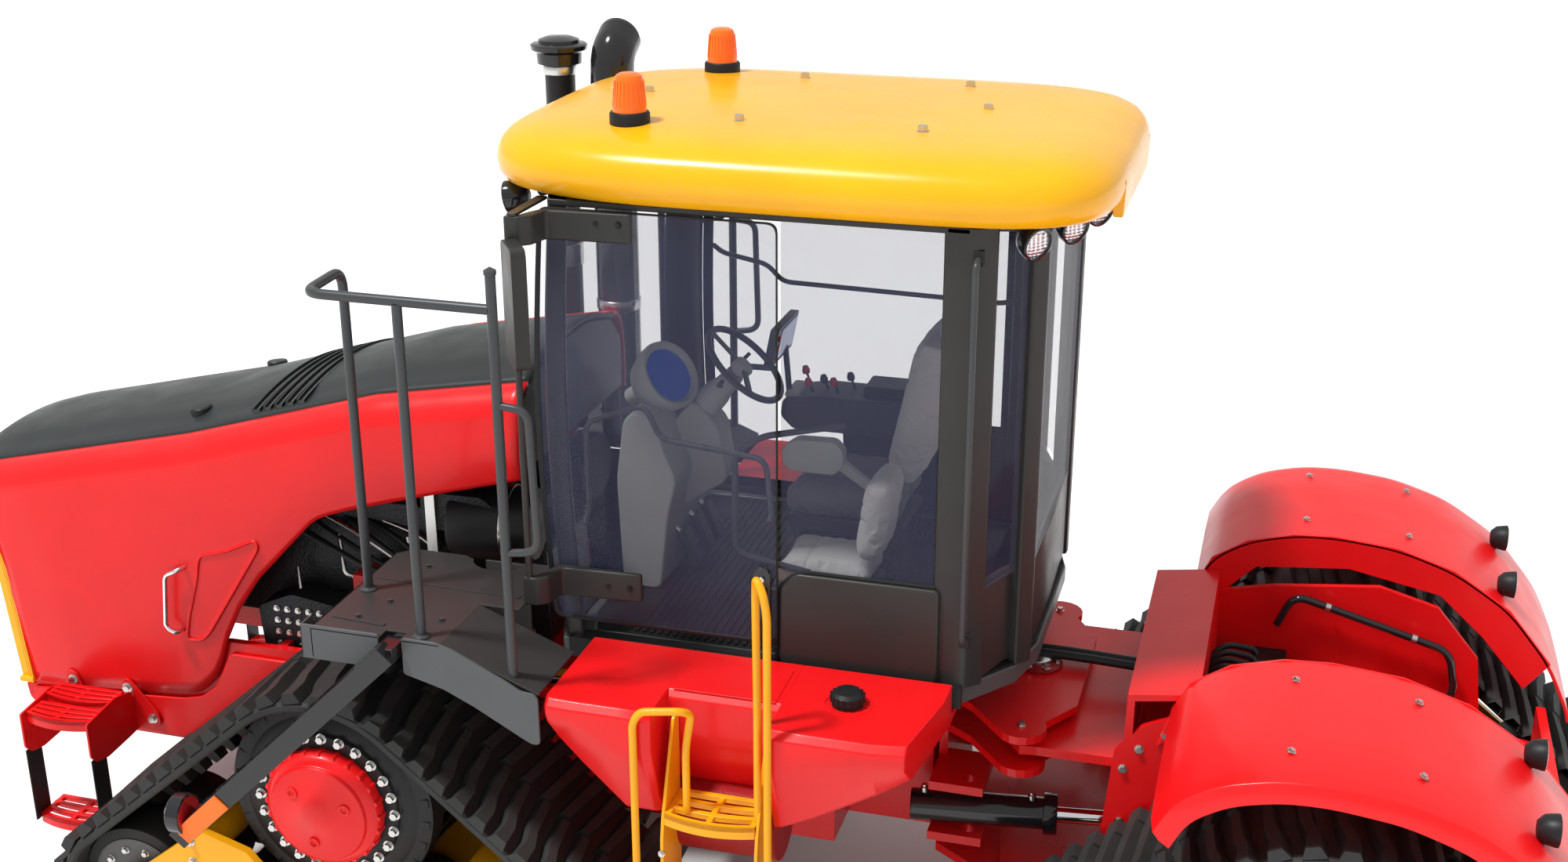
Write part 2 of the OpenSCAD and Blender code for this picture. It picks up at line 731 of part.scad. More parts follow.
module door_handles() {
    color(dark) {
        box([-240, -180], [door_y0 + 20, door_y0 + 60], [1730, 2000]);
        bent_tube([[560, door_y0 - 13, 2130], [560, door_y0 - 60, 2190], [560, door_y0 - 60, 2560], [300, door_y0 - 60, 2660],
            [240, door_y0 - 60, 2520], [-200, door_y0 - 60, 2480], [-225, door_y0 - 60, 2250], [-230, door_y0 - 13, 2230]], 24, 50);
    }
}

// ---------- articulation ----------
lobe = [-1230, 560];
lobe_r = 105;
link_y = 330;
// Half outline of a hinge plate with its side lobe, from front to rear.
lobe_half = [
    [tail_x - 20, link_y], [-1000, 440],
    for (a = [50:20:210]) [lobe[0] + lobe_r * cos(a), lobe[1] + lobe_r * sin(a)],
    [-1430, 330]
];
lobe_plan = concat(lobe_half, [for (i = [len(lobe_half) - 1:-1:0]) [lobe_half[i][0], -lobe_half[i][1]]]);

module hinge_link() {
    color(red) difference() {
        union() {
            for (z = [[1265, 1300], [1110, 1145], [480, 520]]) flat_plate(lobe_plan, z[0], z[1]);
            box([tail_x - 20 - plate_t, tail_x - 22], [-link_y + 4, link_y - 4], [485, 1290]);
            box([tail_x - 18 - plate_t, tail_x - 24], [-130, 130], [1280, 1400]);
            shaft(tail_x - 30, neck_x + 10, 0, drive_z, trunnion_r);
            // brackets that hold the barrels' swivel pins
            both_sides() {
                for (z = [drive_z - 144, drive_z + 104])
                    box([-barrel_x - 70, tail_x - 26], [link_y - 60, barrel_y + 70], [z, z + plate_t]);
            }
        }
        translate([-hinge_x, 0, 400]) cylinder(h = 1000, r = hinge_pin_r + pivot_gap);
        both_sides() translate([-barrel_x, barrel_y, 600]) cylinder(h = 500, r = 30 + pivot_gap);
    }
}

// Hoses from the link's bulkhead to the bridge, laid flat side by side.
hose_d = 42;

module hinge_hoses() {
    color(black) for (i = [0:3])
        shaft(-1649, tail_x - 20 - plate_t - 1, -66 + 46 * i, 1340, hose_d / 2);
}

module rear_frame() {
    color(red) {
        // ears with the articulation pins
        difference() {
            union() {
                flat_plate(ear_plan(), 1185, 1225);
                flat_plate(ear_plan(), 540, 580);
            }
        }
        translate([-hinge_x, 0, 1146]) cylinder(h = 118, r = hinge_pin_r + 40);
        translate([-hinge_x, 0, 1225]) cylinder(h = 85, r = hinge_pin_r);
        translate([-hinge_x, 0, 1100]) cylinder(h = 86, r = hinge_pin_r);
        translate([-hinge_x, 0, 470]) cylinder(h = 71, r = hinge_pin_r);
        difference() {
            union() {
                both_sides() side_plate(sheet_outline, sheet_y - 30, sheet_y);
                box([-1690, -1650], [-sheet_y + 30, sheet_y - 30], [540, 1225]);
                for (x = [-2900, -3400]) box([x, x + plate_t], [-sheet_y + 30, sheet_y - 30], [560, 1100]);
                // bridge over the front of the rear frame
                side_plate([[-1655, 1269], [-1660, 1540], [-1940, 1580], [-1955, 1269], [-1925, 1269], [-1915, 1550],
                    [-1690, 1515], [-1690, 1269]], -sheet_y, sheet_y);
                box([-3400, -1960], [-sheet_y + 30, sheet_y - 30], [600, 620]);
            }
            both_sides() box([rear_axle_x - saddle_w, rear_axle_x + saddle_w], [sheet_y - 31, sheet_y + 1],
                [saddle_z0, saddle_z1]);
            box([rear_axle_x - saddle_w, rear_axle_x + saddle_w], [-sheet_y, sheet_y], [590, 630]);
            // slots that the cylinders swing in
            both_sides() box([-1700, -1640], [eye_y - 170, sheet_y - 28], [drive_z - 105, drive_z + 105]);
            // hose notch in the bridge
            box([-1990, -1700], [-60, 240], [1260, 1400]);
        }
        // clevises for the rods' eyes
        both_sides() {
            box([-eye_x - 70, -eye_x + 64], [eye_y - 60, sheet_y - 29], [drive_z - 100, drive_z - 62]);
            box([-eye_x - 70, -eye_x + 64], [eye_y - 60, sheet_y - 29], [drive_z + 62, drive_z + 100]);
        }
    }
}

sheet_y = 620;
function ear_plan() = [
    [-1160, -500], [-1120, -300], [-1120, 300], [-1160, 500], [-1230, 600], [-1300, sheet_y - 30], [-1690, sheet_y - 30],
    [-1690, -sheet_y + 30], [-1300, -sheet_y + 30], [-1230, -600]
];
sheet_outline = [
    [-1584, 857], [-1620, 1269], [-1720, 1400], [-1856, 1467], [-2185, 1540], [-2640, 1591], [-2900, 1520], [-3091, 1295],
    [-3138, 943], [-3400, 900], [-3400, 560], [-1720, 560], [-1600, 700]
];

module rear_fenders() {
    color(red) both_sides() difference() {
        fender_solid(0);
        translate([0, -8, 0]) fender_solid(25);
    }
}

// The rear tip ends above the belt at the unit's full pitch
fender_tip_z = 1020;
fender_arc = [[-1830, 1500], [-1900, 1640], [-2050, 1740], [-2250, 1795], [-2430, 1805], [-2700, 1780], [-2950, 1700],
    [-3200, 1540], [-3400, 1300], [-3505, 1080], [-3520, fender_tip_z]];

module fender_solid(inset) {
    side_plate(concat([[-1790 - inset, 1330]], [for (p = fender_arc) [p[0] + (p[0] > -1950 ? -inset : 0) + (p[0] < -3300 ? inset : 0), p[1] - inset]],
        [[-3490, fender_tip_z], [-3300, 1150], [-3100, 1380], [-2900, 1560], [-2500, 1640], [-2100, 1600], [-1900, 1400]]), sheet_y + 1, 1550 - inset);
}

module fender_lamps() {
    both_sides() for (y = [768, 1300]) translate([-3215, y, 1600]) {
        color(black) {
            rotate([0, -90, 0]) cylinder(h = 60, r = 62);
            translate([0, 0, -120]) cylinder(h = 121, r = 16);
        }
    }
}

module hydraulic_couplers() {
    color(dark) {
        box([-2270, -2110], [-260, 260], [saddle_z1 + 10, 1330]);
        box([-2150, -2110], [-sheet_y + 31, sheet_y - 31], [saddle_z1 + 10, 1230]);
        for (y = [-210:84:210]) shaft(-2350, -2269, y, 1270, 24);
    }
}

module coupler_guard() {
    color(dark) both_sides() bent_tube([[-2213, 530, 1378], [-2274, 530, 1535], [-2965, 530, 1346], [-3006, 530, 1137],
        [-2919, 530, 1024]], 36, 60);
}

drawbar_end_x = -half_length;

module drawbar() {
    color(red) difference() {
        union() {
            box([drawbar_end_x + 60, -3399], [-60, 60], [470, 550]);
            translate([drawbar_end_x + 90, 0, 470]) cylinder(h = 80, r = 90);
            box([-3440, -3400], [-200, 200], [470, 900]);
        }
        translate([drawbar_end_x + 90, 0, 469]) cylinder(h = 82, r = 36);
    }
}

// ---------- steering cylinders ----------
rod_dir = atan2(eye_y - barrel_y, -(eye_x - barrel_x));
rod_len = norm([eye_x - barrel_x, barrel_y - eye_y]);
gland_l = 380;
barrel_tail = 250;
rod_in_l = 60;

module barrel() {
    color(red) translate([-barrel_x, barrel_y, drive_z]) rotate([0, 0, rod_dir]) {
        difference() {
            union() {
                shaft(-barrel_tail, gland_l, 0, 0, barrel_r);
                shaft(gland_l - 60, gland_l, 0, 0, barrel_r + 20);
                box([-60, 60], [-75, 75], [-75, 75]);
            }
            shaft(-barrel_tail + 30, gland_l + 1, 0, 0, rod_r + pivot_gap);
        }
        translate([0, 0, 74]) cylinder(h = 76, r = 30);
        translate([0, 0, -150]) cylinder(h = 76, r = 30);
    }
}

module rod() {
    color("silver") translate([-barrel_x, barrel_y, drive_z]) rotate([0, 0, rod_dir]) {
        shaft(rod_in_l, rod_len - 50, 0, 0, rod_r);
        translate([rod_len, 0, -55]) cylinder(h = 110, r = 55);
    }
}

module left_cylinder_barrel() { barrel(); }
module right_cylinder_barrel() { mirror([0, 1, 0]) barrel(); }
module left_cylinder_rod() { rod(); }
module right_cylinder_rod() { mirror([0, 1, 0]) rod(); }

// ---------- track units ----------
module belt_outline(grow) {
    hull() {
        translate([0, axle_z]) circle(r = drive_r + grow);
        for (s = [-1, 1]) translate([s * idler_reach, idler_z]) circle(r = idler_r + grow);
    }
}

module belt_at(x) {
    color(black) translate([x, belt_outer_y, 0]) rotate([90, 0, 0]) linear_extrude(belt_w) difference() {
        belt_outline(belt_t);
        belt_outline(0);
    }
}

frame_side_y = [belt_inner_y + 40, belt_outer_y - 80];

module undercarriage_at(x) {
    color(yellow) translate([x, 0, 0]) difference() {
        union() {
            // drive wheel with its hub
            drum(0, axle_z, belt_inner_y + 120, belt_outer_y - 120, drive_r - 1);
            drum(0, axle_z, belt_outer_y - 121, hub_face_y, 290);
            drum(0, axle_z, belt_inner_y + 1, belt_inner_y + 121, 200);
            // side beams under the hub
            for (y = frame_side_y) difference() {
                side_plate([[-idler_reach, idler_z + 60], [-560, 800], [560, 800], [idler_reach, idler_z + 60],
                    [idler_reach, idler_z - 60], [760, 240], [-760, 240], [-idler_reach, idler_z - 60]], y, y + 40);
                drum(0, axle_z, y - 1, y + 41, drive_r + 10);
            }
            for (s = [-1, 1]) {
                // idler pairs
                for (y = [belt_inner_y + 110, belt_outer_y - 310])
                    drum(s * idler_reach, idler_z, y, y + 200, idler_r - 1);
                drum(s * idler_reach, idler_z, frame_side_y[0] + 1, frame_side_y[1] + 39, 50);
                // cross tubes
                drum(s * 620, 640, frame_side_y[0] + 1, frame_side_y[1] + 39, 60);
                // rollers
                for (k = [180, 520]) {
                    for (y = [belt_inner_y + 110, belt_outer_y - 310])
                        drum(s * k, belt_t + roller_r + 1, y, y + 200, roller_r);
                    drum(s * k, belt_t + roller_r + 1, frame_side_y[0] + 1, frame_side_y[1] + 39, 40);
                }
            }
        }
        drum(0, axle_z, belt_inner_y, spindle_end_y + 10, spindle_r + pivot_gap);
    }
}

module front_left_belt() { belt_at(front_axle_x); }
module front_right_belt() { mirror([0, 1, 0]) belt_at(front_axle_x); }
module rear_left_belt() { belt_at(rear_axle_x); }
module rear_right_belt() { mirror([0, 1, 0]) belt_at(rear_axle_x); }
module front_left_undercarriage() { undercarriage_at(front_axle_x); }
module front_right_undercarriage() { mirror([0, 1, 0]) undercarriage_at(front_axle_x); }
module rear_left_undercarriage() { undercarriage_at(rear_axle_x); }
module rear_right_undercarriage() { mirror([0, 1, 0]) undercarriage_at(rear_axle_x); }

front_frame();
front_axle();
drive_shaft();
engine();
fuel_tanks();
cab_ladder();
front_steps();
track_platforms();
platform_railings();
marker_arms();
marker_lamps();
cab_floor();
cab_pillars();
cab_lower_panels();
cab_roof();
cab_windows();
dashboard();
control_console();
seat_bases();
driver_seat();
instructor_seat();
exhaust_pipe();
air_intake();
mirrors();
cab_grab_rails();
work_lamps();
beacons();
hood_panels();
hood_top();
grille();
hood_handles();
door_frame();
door_glass();
door_arms();
door_handles();
steering_wheel();
hinge_link();
hinge_hoses();
rear_frame();
rear_axle();
rear_fenders();
fender_lamps();
hydraulic_couplers();
coupler_guard();
drawbar();
left_cylinder_barrel();
right_cylinder_barrel();
left_cylinder_rod();
right_cylinder_rod();
front_left_belt();
front_right_belt();
rear_left_belt();
rear_right_belt();
front_left_undercarriage();
front_right_undercarriage();
rear_left_undercarriage();
rear_right_undercarriage();
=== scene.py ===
"""Looks of an articulated four-track farm tractor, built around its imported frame.

+X points to the hood's nose, +Y to the machine's left and +Z up. Lengths are in metres.
"""

import logging
import math
from dataclasses import dataclass, field
from enum import Enum
from typing import Callable, Iterable, Sequence

import bmesh
import bpy
from mathutils import Matrix, Vector


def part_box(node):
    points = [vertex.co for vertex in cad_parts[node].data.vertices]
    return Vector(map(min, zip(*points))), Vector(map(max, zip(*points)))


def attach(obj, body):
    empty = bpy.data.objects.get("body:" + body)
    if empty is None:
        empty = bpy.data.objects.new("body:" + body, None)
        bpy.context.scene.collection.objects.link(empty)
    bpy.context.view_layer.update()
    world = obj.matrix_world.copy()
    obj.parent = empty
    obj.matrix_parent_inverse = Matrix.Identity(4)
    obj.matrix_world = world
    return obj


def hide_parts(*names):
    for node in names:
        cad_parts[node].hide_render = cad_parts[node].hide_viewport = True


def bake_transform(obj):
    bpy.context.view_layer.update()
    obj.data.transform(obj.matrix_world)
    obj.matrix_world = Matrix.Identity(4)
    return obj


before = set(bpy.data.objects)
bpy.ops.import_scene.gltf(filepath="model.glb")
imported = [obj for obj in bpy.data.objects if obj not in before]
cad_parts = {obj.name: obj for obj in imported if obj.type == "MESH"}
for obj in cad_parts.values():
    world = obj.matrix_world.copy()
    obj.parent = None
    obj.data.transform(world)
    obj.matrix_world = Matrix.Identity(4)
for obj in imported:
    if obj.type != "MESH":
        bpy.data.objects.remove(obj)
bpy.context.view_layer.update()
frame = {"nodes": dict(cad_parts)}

LOG = logging.getLogger("tractor")
SIDES = {"left": 1.0, "right": -1.0}

Point = tuple[float, float, float]
Flat = tuple[float, float]

UP: Point = (0, 0, 1)
LEFT: Point = (0, 1, 0)
BACK: Point = (-1, 0, 0)


# ---------------------------------------------------------------- finishes


class Relief(Enum):
    """The small relief that a finish has."""

    NONE = "none"
    PEEL = "peel"
    GRAIN = "grain"
    CAST = "cast"
    BRUSHED = "brushed"
    WEAVE = "weave"


@dataclass(frozen=True)
class Finish:
    """A surface finish, from which one material is made.

    Attributes:
        name: Material name.
        colour: Linear base colour.
        roughness: Mean roughness.
        metallic: 1 for bare metal.
        coat: Weight of a clear coat.
        relief: Kind of small relief.
        pitch: Size of one grain or thread of the relief.
        depth: Strength of the relief.
        cloud: How far the colour wanders, from 0 to 1.
        alpha: Opacity, under 1 for glass.
        sheen: Soft edge light of cloth.
        glow: Strength of the finish's own light.
        shine: Level of the mirror-like reflection.
    """

    name: str
    colour: Point
    roughness: float = 0.4
    metallic: float = 0.0
    coat: float = 0.0
    relief: Relief = Relief.NONE
    pitch: float = 0.004
    depth: float = 0.1
    cloud: float = 0.06
    alpha: float = 1.0
    sheen: float = 0.0
    glow: float = 0.0
    shine: float = 0.3

    def material(self) -> bpy.types.Material:
        """Return the finish's material, made on the first call."""
        known = bpy.data.materials.get(self.name)
        if known is not None:
            return known
        material = bpy.data.materials.new(self.name)
        material.use_nodes = True
        nodes, links = material.node_tree.nodes, material.node_tree.links
        shader = nodes["Principled BSDF"]
        shader.inputs["Metallic"].default_value = self.metallic
        shader.inputs["Coat Weight"].default_value = self.coat
        shader.inputs["Coat Roughness"].default_value = 0.06
        shader.inputs["Alpha"].default_value = self.alpha
        shader.inputs["Specular IOR Level"].default_value = self.shine
        shader.inputs["Sheen Weight"].default_value = self.sheen
        if self.glow > 0:
            shader.inputs["Emission Color"].default_value = (*self.colour, 1.0)
            shader.inputs["Emission Strength"].default_value = self.glow
        place = nodes.new("ShaderNodeTexCoord")
        links.new(self._clouded_colour(nodes, links, place), shader.inputs["Base Color"])
        links.new(self._worn_roughness(nodes, links, place), shader.inputs["Roughness"])
        if self.relief is not Relief.NONE:
            links.new(self._bump(nodes, links, place), shader.inputs["Normal"])
        return material

    def _clouded_colour(self, nodes, links, place: bpy.types.Node) -> bpy.types.NodeSocket:
        """Build slow changes of the base colour and return their socket."""
        noise = nodes.new("ShaderNodeTexNoise")
        noise.inputs["Scale"].default_value = 2.3
        noise.inputs["Detail"].default_value = 6.0
        noise.inputs["Roughness"].default_value = 0.6
        links.new(place.outputs["Object"], noise.inputs["Vector"])
        ramp = nodes.new("ShaderNodeValToRGB")
        low, high = ramp.color_ramp.elements
        low.position, high.position = 0.3, 0.7
        low.color = (*(c * (1 - self.cloud) for c in self.colour), 1.0)
        high.color = (*(min(1.0, c * (1 + self.cloud) + 0.004 * self.cloud) for c in self.colour), 1.0)
        links.new(noise.outputs["Fac"], ramp.inputs["Fac"])
        return ramp.outputs["Color"]

    def _worn_roughness(self, nodes, links, place: bpy.types.Node) -> bpy.types.NodeSocket:
        """Build patches of handled and dull surface and return their socket."""
        noise = nodes.new("ShaderNodeTexNoise")
        noise.inputs["Scale"].default_value = 5.1
        noise.inputs["Detail"].default_value = 8.0
        links.new(place.outputs["Object"], noise.inputs["Vector"])
        span = nodes.new("ShaderNodeMapRange")
        span.inputs["From Min"].default_value = 0.3
        span.inputs["From Max"].default_value = 0.7
        span.inputs["To Min"].default_value = max(0.02, self.roughness * 0.85)
        span.inputs["To Max"].default_value = min(1.0, self.roughness * 1.18)
        links.new(noise.outputs["Fac"], span.inputs["Value"])
        return span.outputs["Result"]

    def _bump(self, nodes, links, place: bpy.types.Node) -> bpy.types.NodeSocket:
        """Build the relief and return its normal socket."""
        where = nodes.new("ShaderNodeMapping")
        links.new(place.outputs["Object"], where.inputs["Vector"])
        if self.relief is Relief.BRUSHED:
            where.inputs["Scale"].default_value = (1.0, 1.0, 0.06)
        if self.relief is Relief.WEAVE:
            height = self._weave(nodes, links, where)
        elif self.relief is Relief.CAST:
            pits = nodes.new("ShaderNodeTexVoronoi")
            pits.inputs["Scale"].default_value = 1.0 / self.pitch
            links.new(where.outputs["Vector"], pits.inputs["Vector"])
            height = pits.outputs["Distance"]
        else:
            grain = nodes.new("ShaderNodeTexNoise")
            grain.inputs["Scale"].default_value = 1.0 / self.pitch
            grain.inputs["Detail"].default_value = 1.0 if self.relief is Relief.PEEL else 4.0
            links.new(where.outputs["Vector"], grain.inputs["Vector"])
            height = grain.outputs["Fac"]
        bump = nodes.new("ShaderNodeBump")
        bump.inputs["Strength"].default_value = self.depth
        bump.inputs["Distance"].default_value = self.pitch * 0.5
        links.new(height, bump.inputs["Height"])
        return bump.outputs["Normal"]

    def _weave(self, nodes, links, where: bpy.types.Node) -> bpy.types.NodeSocket:
        """Build crossed threads and return their height socket."""
        threads = []
        for direction in ("X", "Z"):
            wave = nodes.new("ShaderNodeTexWave")
            wave.bands_direction = direction
            wave.inputs["Scale"].default_value = 0.32 / self.pitch
            wave.inputs["Distortion"].default_value = 0.6
            links.new(where.outputs["Vector"], wave.inputs["Vector"])
            threads.append(wave)
        cross = nodes.new("ShaderNodeMath")
        cross.operation = "MULTIPLY"
        links.new(threads[0].outputs["Fac"], cross.inputs[0])
        links.new(threads[1].outputs["Fac"], cross.inputs[1])
        return cross.outputs["Value"]


RED_PAINT = Finish("red_paint_gloss", (0.74, 0.006, 0.008), 0.3, coat=0.08, relief=Relief.PEEL, pitch=0.006, depth=0.05)
RED_PANEL = Finish("red_panel_gloss", (0.8, 0.007, 0.009), 0.33, coat=0.08, relief=Relief.PEEL, pitch=0.008, depth=0.04)
# Darker red; on the tank recess cylinder this darker red is painted shade.
DARK_RED = Finish("dark_red_casting_and_painted_shade", (0.3, 0.008, 0.01), 0.42, relief=Relief.CAST, pitch=0.012, depth=0.15)
ROOF_YELLOW = Finish(
    "roof_yellow_gloss", (0.93, 0.44, 0.004), 0.26, coat=0.15, relief=Relief.PEEL, pitch=0.008, depth=0.04
)
BEAM_YELLOW = Finish(
    "beam_yellow_paint", (0.88, 0.38, 0.005), 0.36, coat=0.08, relief=Relief.CAST, pitch=0.01, depth=0.08
)
DECK_GREY = Finish("deck_grey_coat", (0.04, 0.037, 0.036), 0.42, relief=Relief.GRAIN, pitch=0.003, depth=0.2)
# Dark satin paint set lighter than the other dark paint: the lift is a painted sheen of its reflection.
FASCIA_GREY_PAINTED_SHEEN = Finish("fascia_dark_paint_painted_sheen", (0.085, 0.09, 0.092), 0.34, relief=Relief.GRAIN, pitch=0.003, depth=0.1)
RAIL_GREY = Finish("rail_grey_coat", (0.05, 0.054, 0.056), 0.3, relief=Relief.PEEL, pitch=0.002, depth=0.08)
CAB_GREY = Finish("cab_grey_coat", (0.03, 0.03, 0.028), 0.38, relief=Relief.GRAIN, pitch=0.002, depth=0.1)
HOOD_CHARCOAL = Finish("hood_charcoal_shell", (0.022, 0.026, 0.026), 0.4, relief=Relief.GRAIN, pitch=0.0025, depth=0.15)
SOFT_BLACK = Finish("soft_black_moulding", (0.012, 0.012, 0.013), 0.45, relief=Relief.GRAIN, pitch=0.0015, depth=0.2)
GLOSS_BLACK = Finish(
    "gloss_black_coat", (0.012, 0.012, 0.014), 0.14, coat=0.5, relief=Relief.PEEL, pitch=0.006, depth=0.03
)
SEAL_RUBBER = Finish("seal_rubber", (0.012, 0.012, 0.012), 0.65, relief=Relief.GRAIN, pitch=0.002, depth=0.2)
BELT_RUBBER = Finish(
    "belt_rubber_moulded", (0.03, 0.031, 0.03), 0.62, relief=Relief.GRAIN, pitch=0.004, depth=0.35, cloud=0.25
)
HOSE_RUBBER = Finish("hose_rubber_cover", (0.014, 0.014, 0.015), 0.4, relief=Relief.GRAIN, pitch=0.0012, depth=0.3)
STEEL = Finish("bolt_steel", (0.62, 0.62, 0.6), 0.26, metallic=1.0, relief=Relief.BRUSHED, pitch=0.002, depth=0.1)
CHROME = Finish("rod_chrome", (0.8, 0.8, 0.82), 0.1, metallic=1.0, relief=Relief.BRUSHED, pitch=0.002, depth=0.02)
WHEEL_GREY = Finish(
    "wheel_grey_casting", (0.12, 0.12, 0.12), 0.45, metallic=0.4, relief=Relief.CAST, pitch=0.01, depth=0.2
)
ENGINE_IRON = Finish("engine_iron", (0.03, 0.031, 0.034), 0.4, metallic=0.5, relief=Relief.CAST, pitch=0.012, depth=0.3)
TRIM_GREY = Finish("trim_grey_moulding", (0.4, 0.41, 0.39), 0.5, relief=Relief.GRAIN, pitch=0.002, depth=0.2)
TRIM_DARK = Finish("trim_dark_moulding", (0.05, 0.052, 0.055), 0.48, relief=Relief.GRAIN, pitch=0.002, depth=0.2)
SEAT_CLOTH = Finish("seat_cloth", (0.46, 0.455, 0.43), 0.85, relief=Relief.WEAVE, pitch=0.003, depth=0.35, sheen=0.25)
SEAT_MID = Finish("seat_mid_cloth", (0.16, 0.16, 0.165), 0.85, relief=Relief.WEAVE, pitch=0.003, depth=0.35, sheen=0.2)
SEAT_DARK = Finish(
    "seat_dark_cloth", (0.07, 0.07, 0.075), 0.85, relief=Relief.WEAVE, pitch=0.003, depth=0.35, sheen=0.2
)
TINTED = Finish(
    "cab_glass_tint", (0.1, 0.11, 0.19), 0.03, relief=Relief.PEEL, pitch=0.2, depth=0.01, alpha=0.17, shine=0.12
)
MIRROR = Finish("mirror_glass", (0.8, 0.82, 0.85), 0.03, metallic=1.0, cloud=0.01)
LENS = Finish("lamp_lens", (0.75, 0.76, 0.78), 0.12, metallic=0.85, relief=Relief.WEAVE, pitch=0.014, depth=0.6)
# Faint glow: a lamp's own light on the beacons, a painted glow on the unlit marker reflectors.
AMBER = Finish("amber_lens", (0.95, 0.16, 0.006), 0.22, coat=0.3, relief=Relief.PEEL, pitch=0.01, depth=0.08, glow=0.08)
TAIL_RED = Finish("tail_red_lens", (0.42, 0.01, 0.012), 0.25, coat=0.2, relief=Relief.WEAVE, pitch=0.008, depth=0.2)
SCREEN_BLUE = Finish(
    "screen_blue", (0.012, 0.06, 0.3), 0.15, coat=0.4, relief=Relief.PEEL, pitch=0.02, depth=0.02, glow=0.25
)
KNOB_RED = Finish("knob_red", (0.6, 0.02, 0.02), 0.3, relief=Relief.GRAIN, pitch=0.002, depth=0.1)
FLOOR_PALE = Finish("studio_floor", (0.9, 0.9, 0.9), 0.75, relief=Relief.GRAIN, pitch=0.02, depth=0.02, cloud=0.01)


# ---------------------------------------------------------------- mesh work


def unit(direction: Sequence[float]) -> Vector:
    """Return a direction at length one."""
    return Vector(direction).normalized()


def around(count: int) -> list[float]:
    """Return evenly spaced angles of a full turn, in radians."""
    return [2 * math.pi * k / count for k in range(count)]


def linked(name: str, data: bpy.types.ID) -> bpy.types.Object:
    """Return a new object in the scene that shows some data."""
    made = bpy.data.objects.new(name, data)
    bpy.context.scene.collection.objects.link(made)
    return made


def rounded_route(corners: Sequence[Point], bend: float, steps: int = 6) -> list[Vector]:
    """Round the corners of a route.

    Args:
        corners: Corner points of the route.
        bend: Length of each corner that is rounded, on each side.
        steps: Points in each rounded corner.

    Returns:
        The points of the rounded route.
    """
    points = [Vector(c) for c in corners]
    route = [points[0]]
    for before, corner, after in zip(points, points[1:], points[2:]):
        reach = min(bend, (before - corner).length * 0.45, (after - corner).length * 0.45)
        a = corner + (before - corner).normalized() * reach
        b = corner + (after - corner).normalized() * reach
        for i in range(steps + 1):
            s = i / steps
            route.append(a * (1 - s) ** 2 + corner * 2 * s * (1 - s) + b * s * s)
    route.append(points[-1])
    return route


def rounded_outline(outline: Sequence[Flat], radius: float, steps: int = 4) -> list[Flat]:
    """Round every corner of a closed flat outline and return the new outline."""
    count, made = len(outline), []
    for i, corner in enumerate(outline):
        c = Vector(corner)
        before, after = Vector(outline[i - 1]), Vector(outline[(i + 1) % count])
        reach_a = min(radius, (before - c).length * 0.45)
        reach_b = min(radius, (after - c).length * 0.45)
        a, b = c + (before - c).normalized() * reach_a, c + (after - c).normalized() * reach_b
        for k in range(steps + 1):
            s = k / steps
            p = a * (1 - s) ** 2 + c * 2 * s * (1 - s) + b * s * s
            made.append((p.x, p.y))
    return made


def between(table: Sequence[Flat], at: float) -> float:
    """Return the value of a table of (place, value) rows at a place, straight between rows."""
    if at <= table[0][0]:
        return table[0][1]
    for (x0, y0), (x1, y1) in zip(table, table[1:]):
        if at <= x1:
            return y0 + (y1 - y0) * (at - x0) / (x1 - x0)
    return table[-1][1]


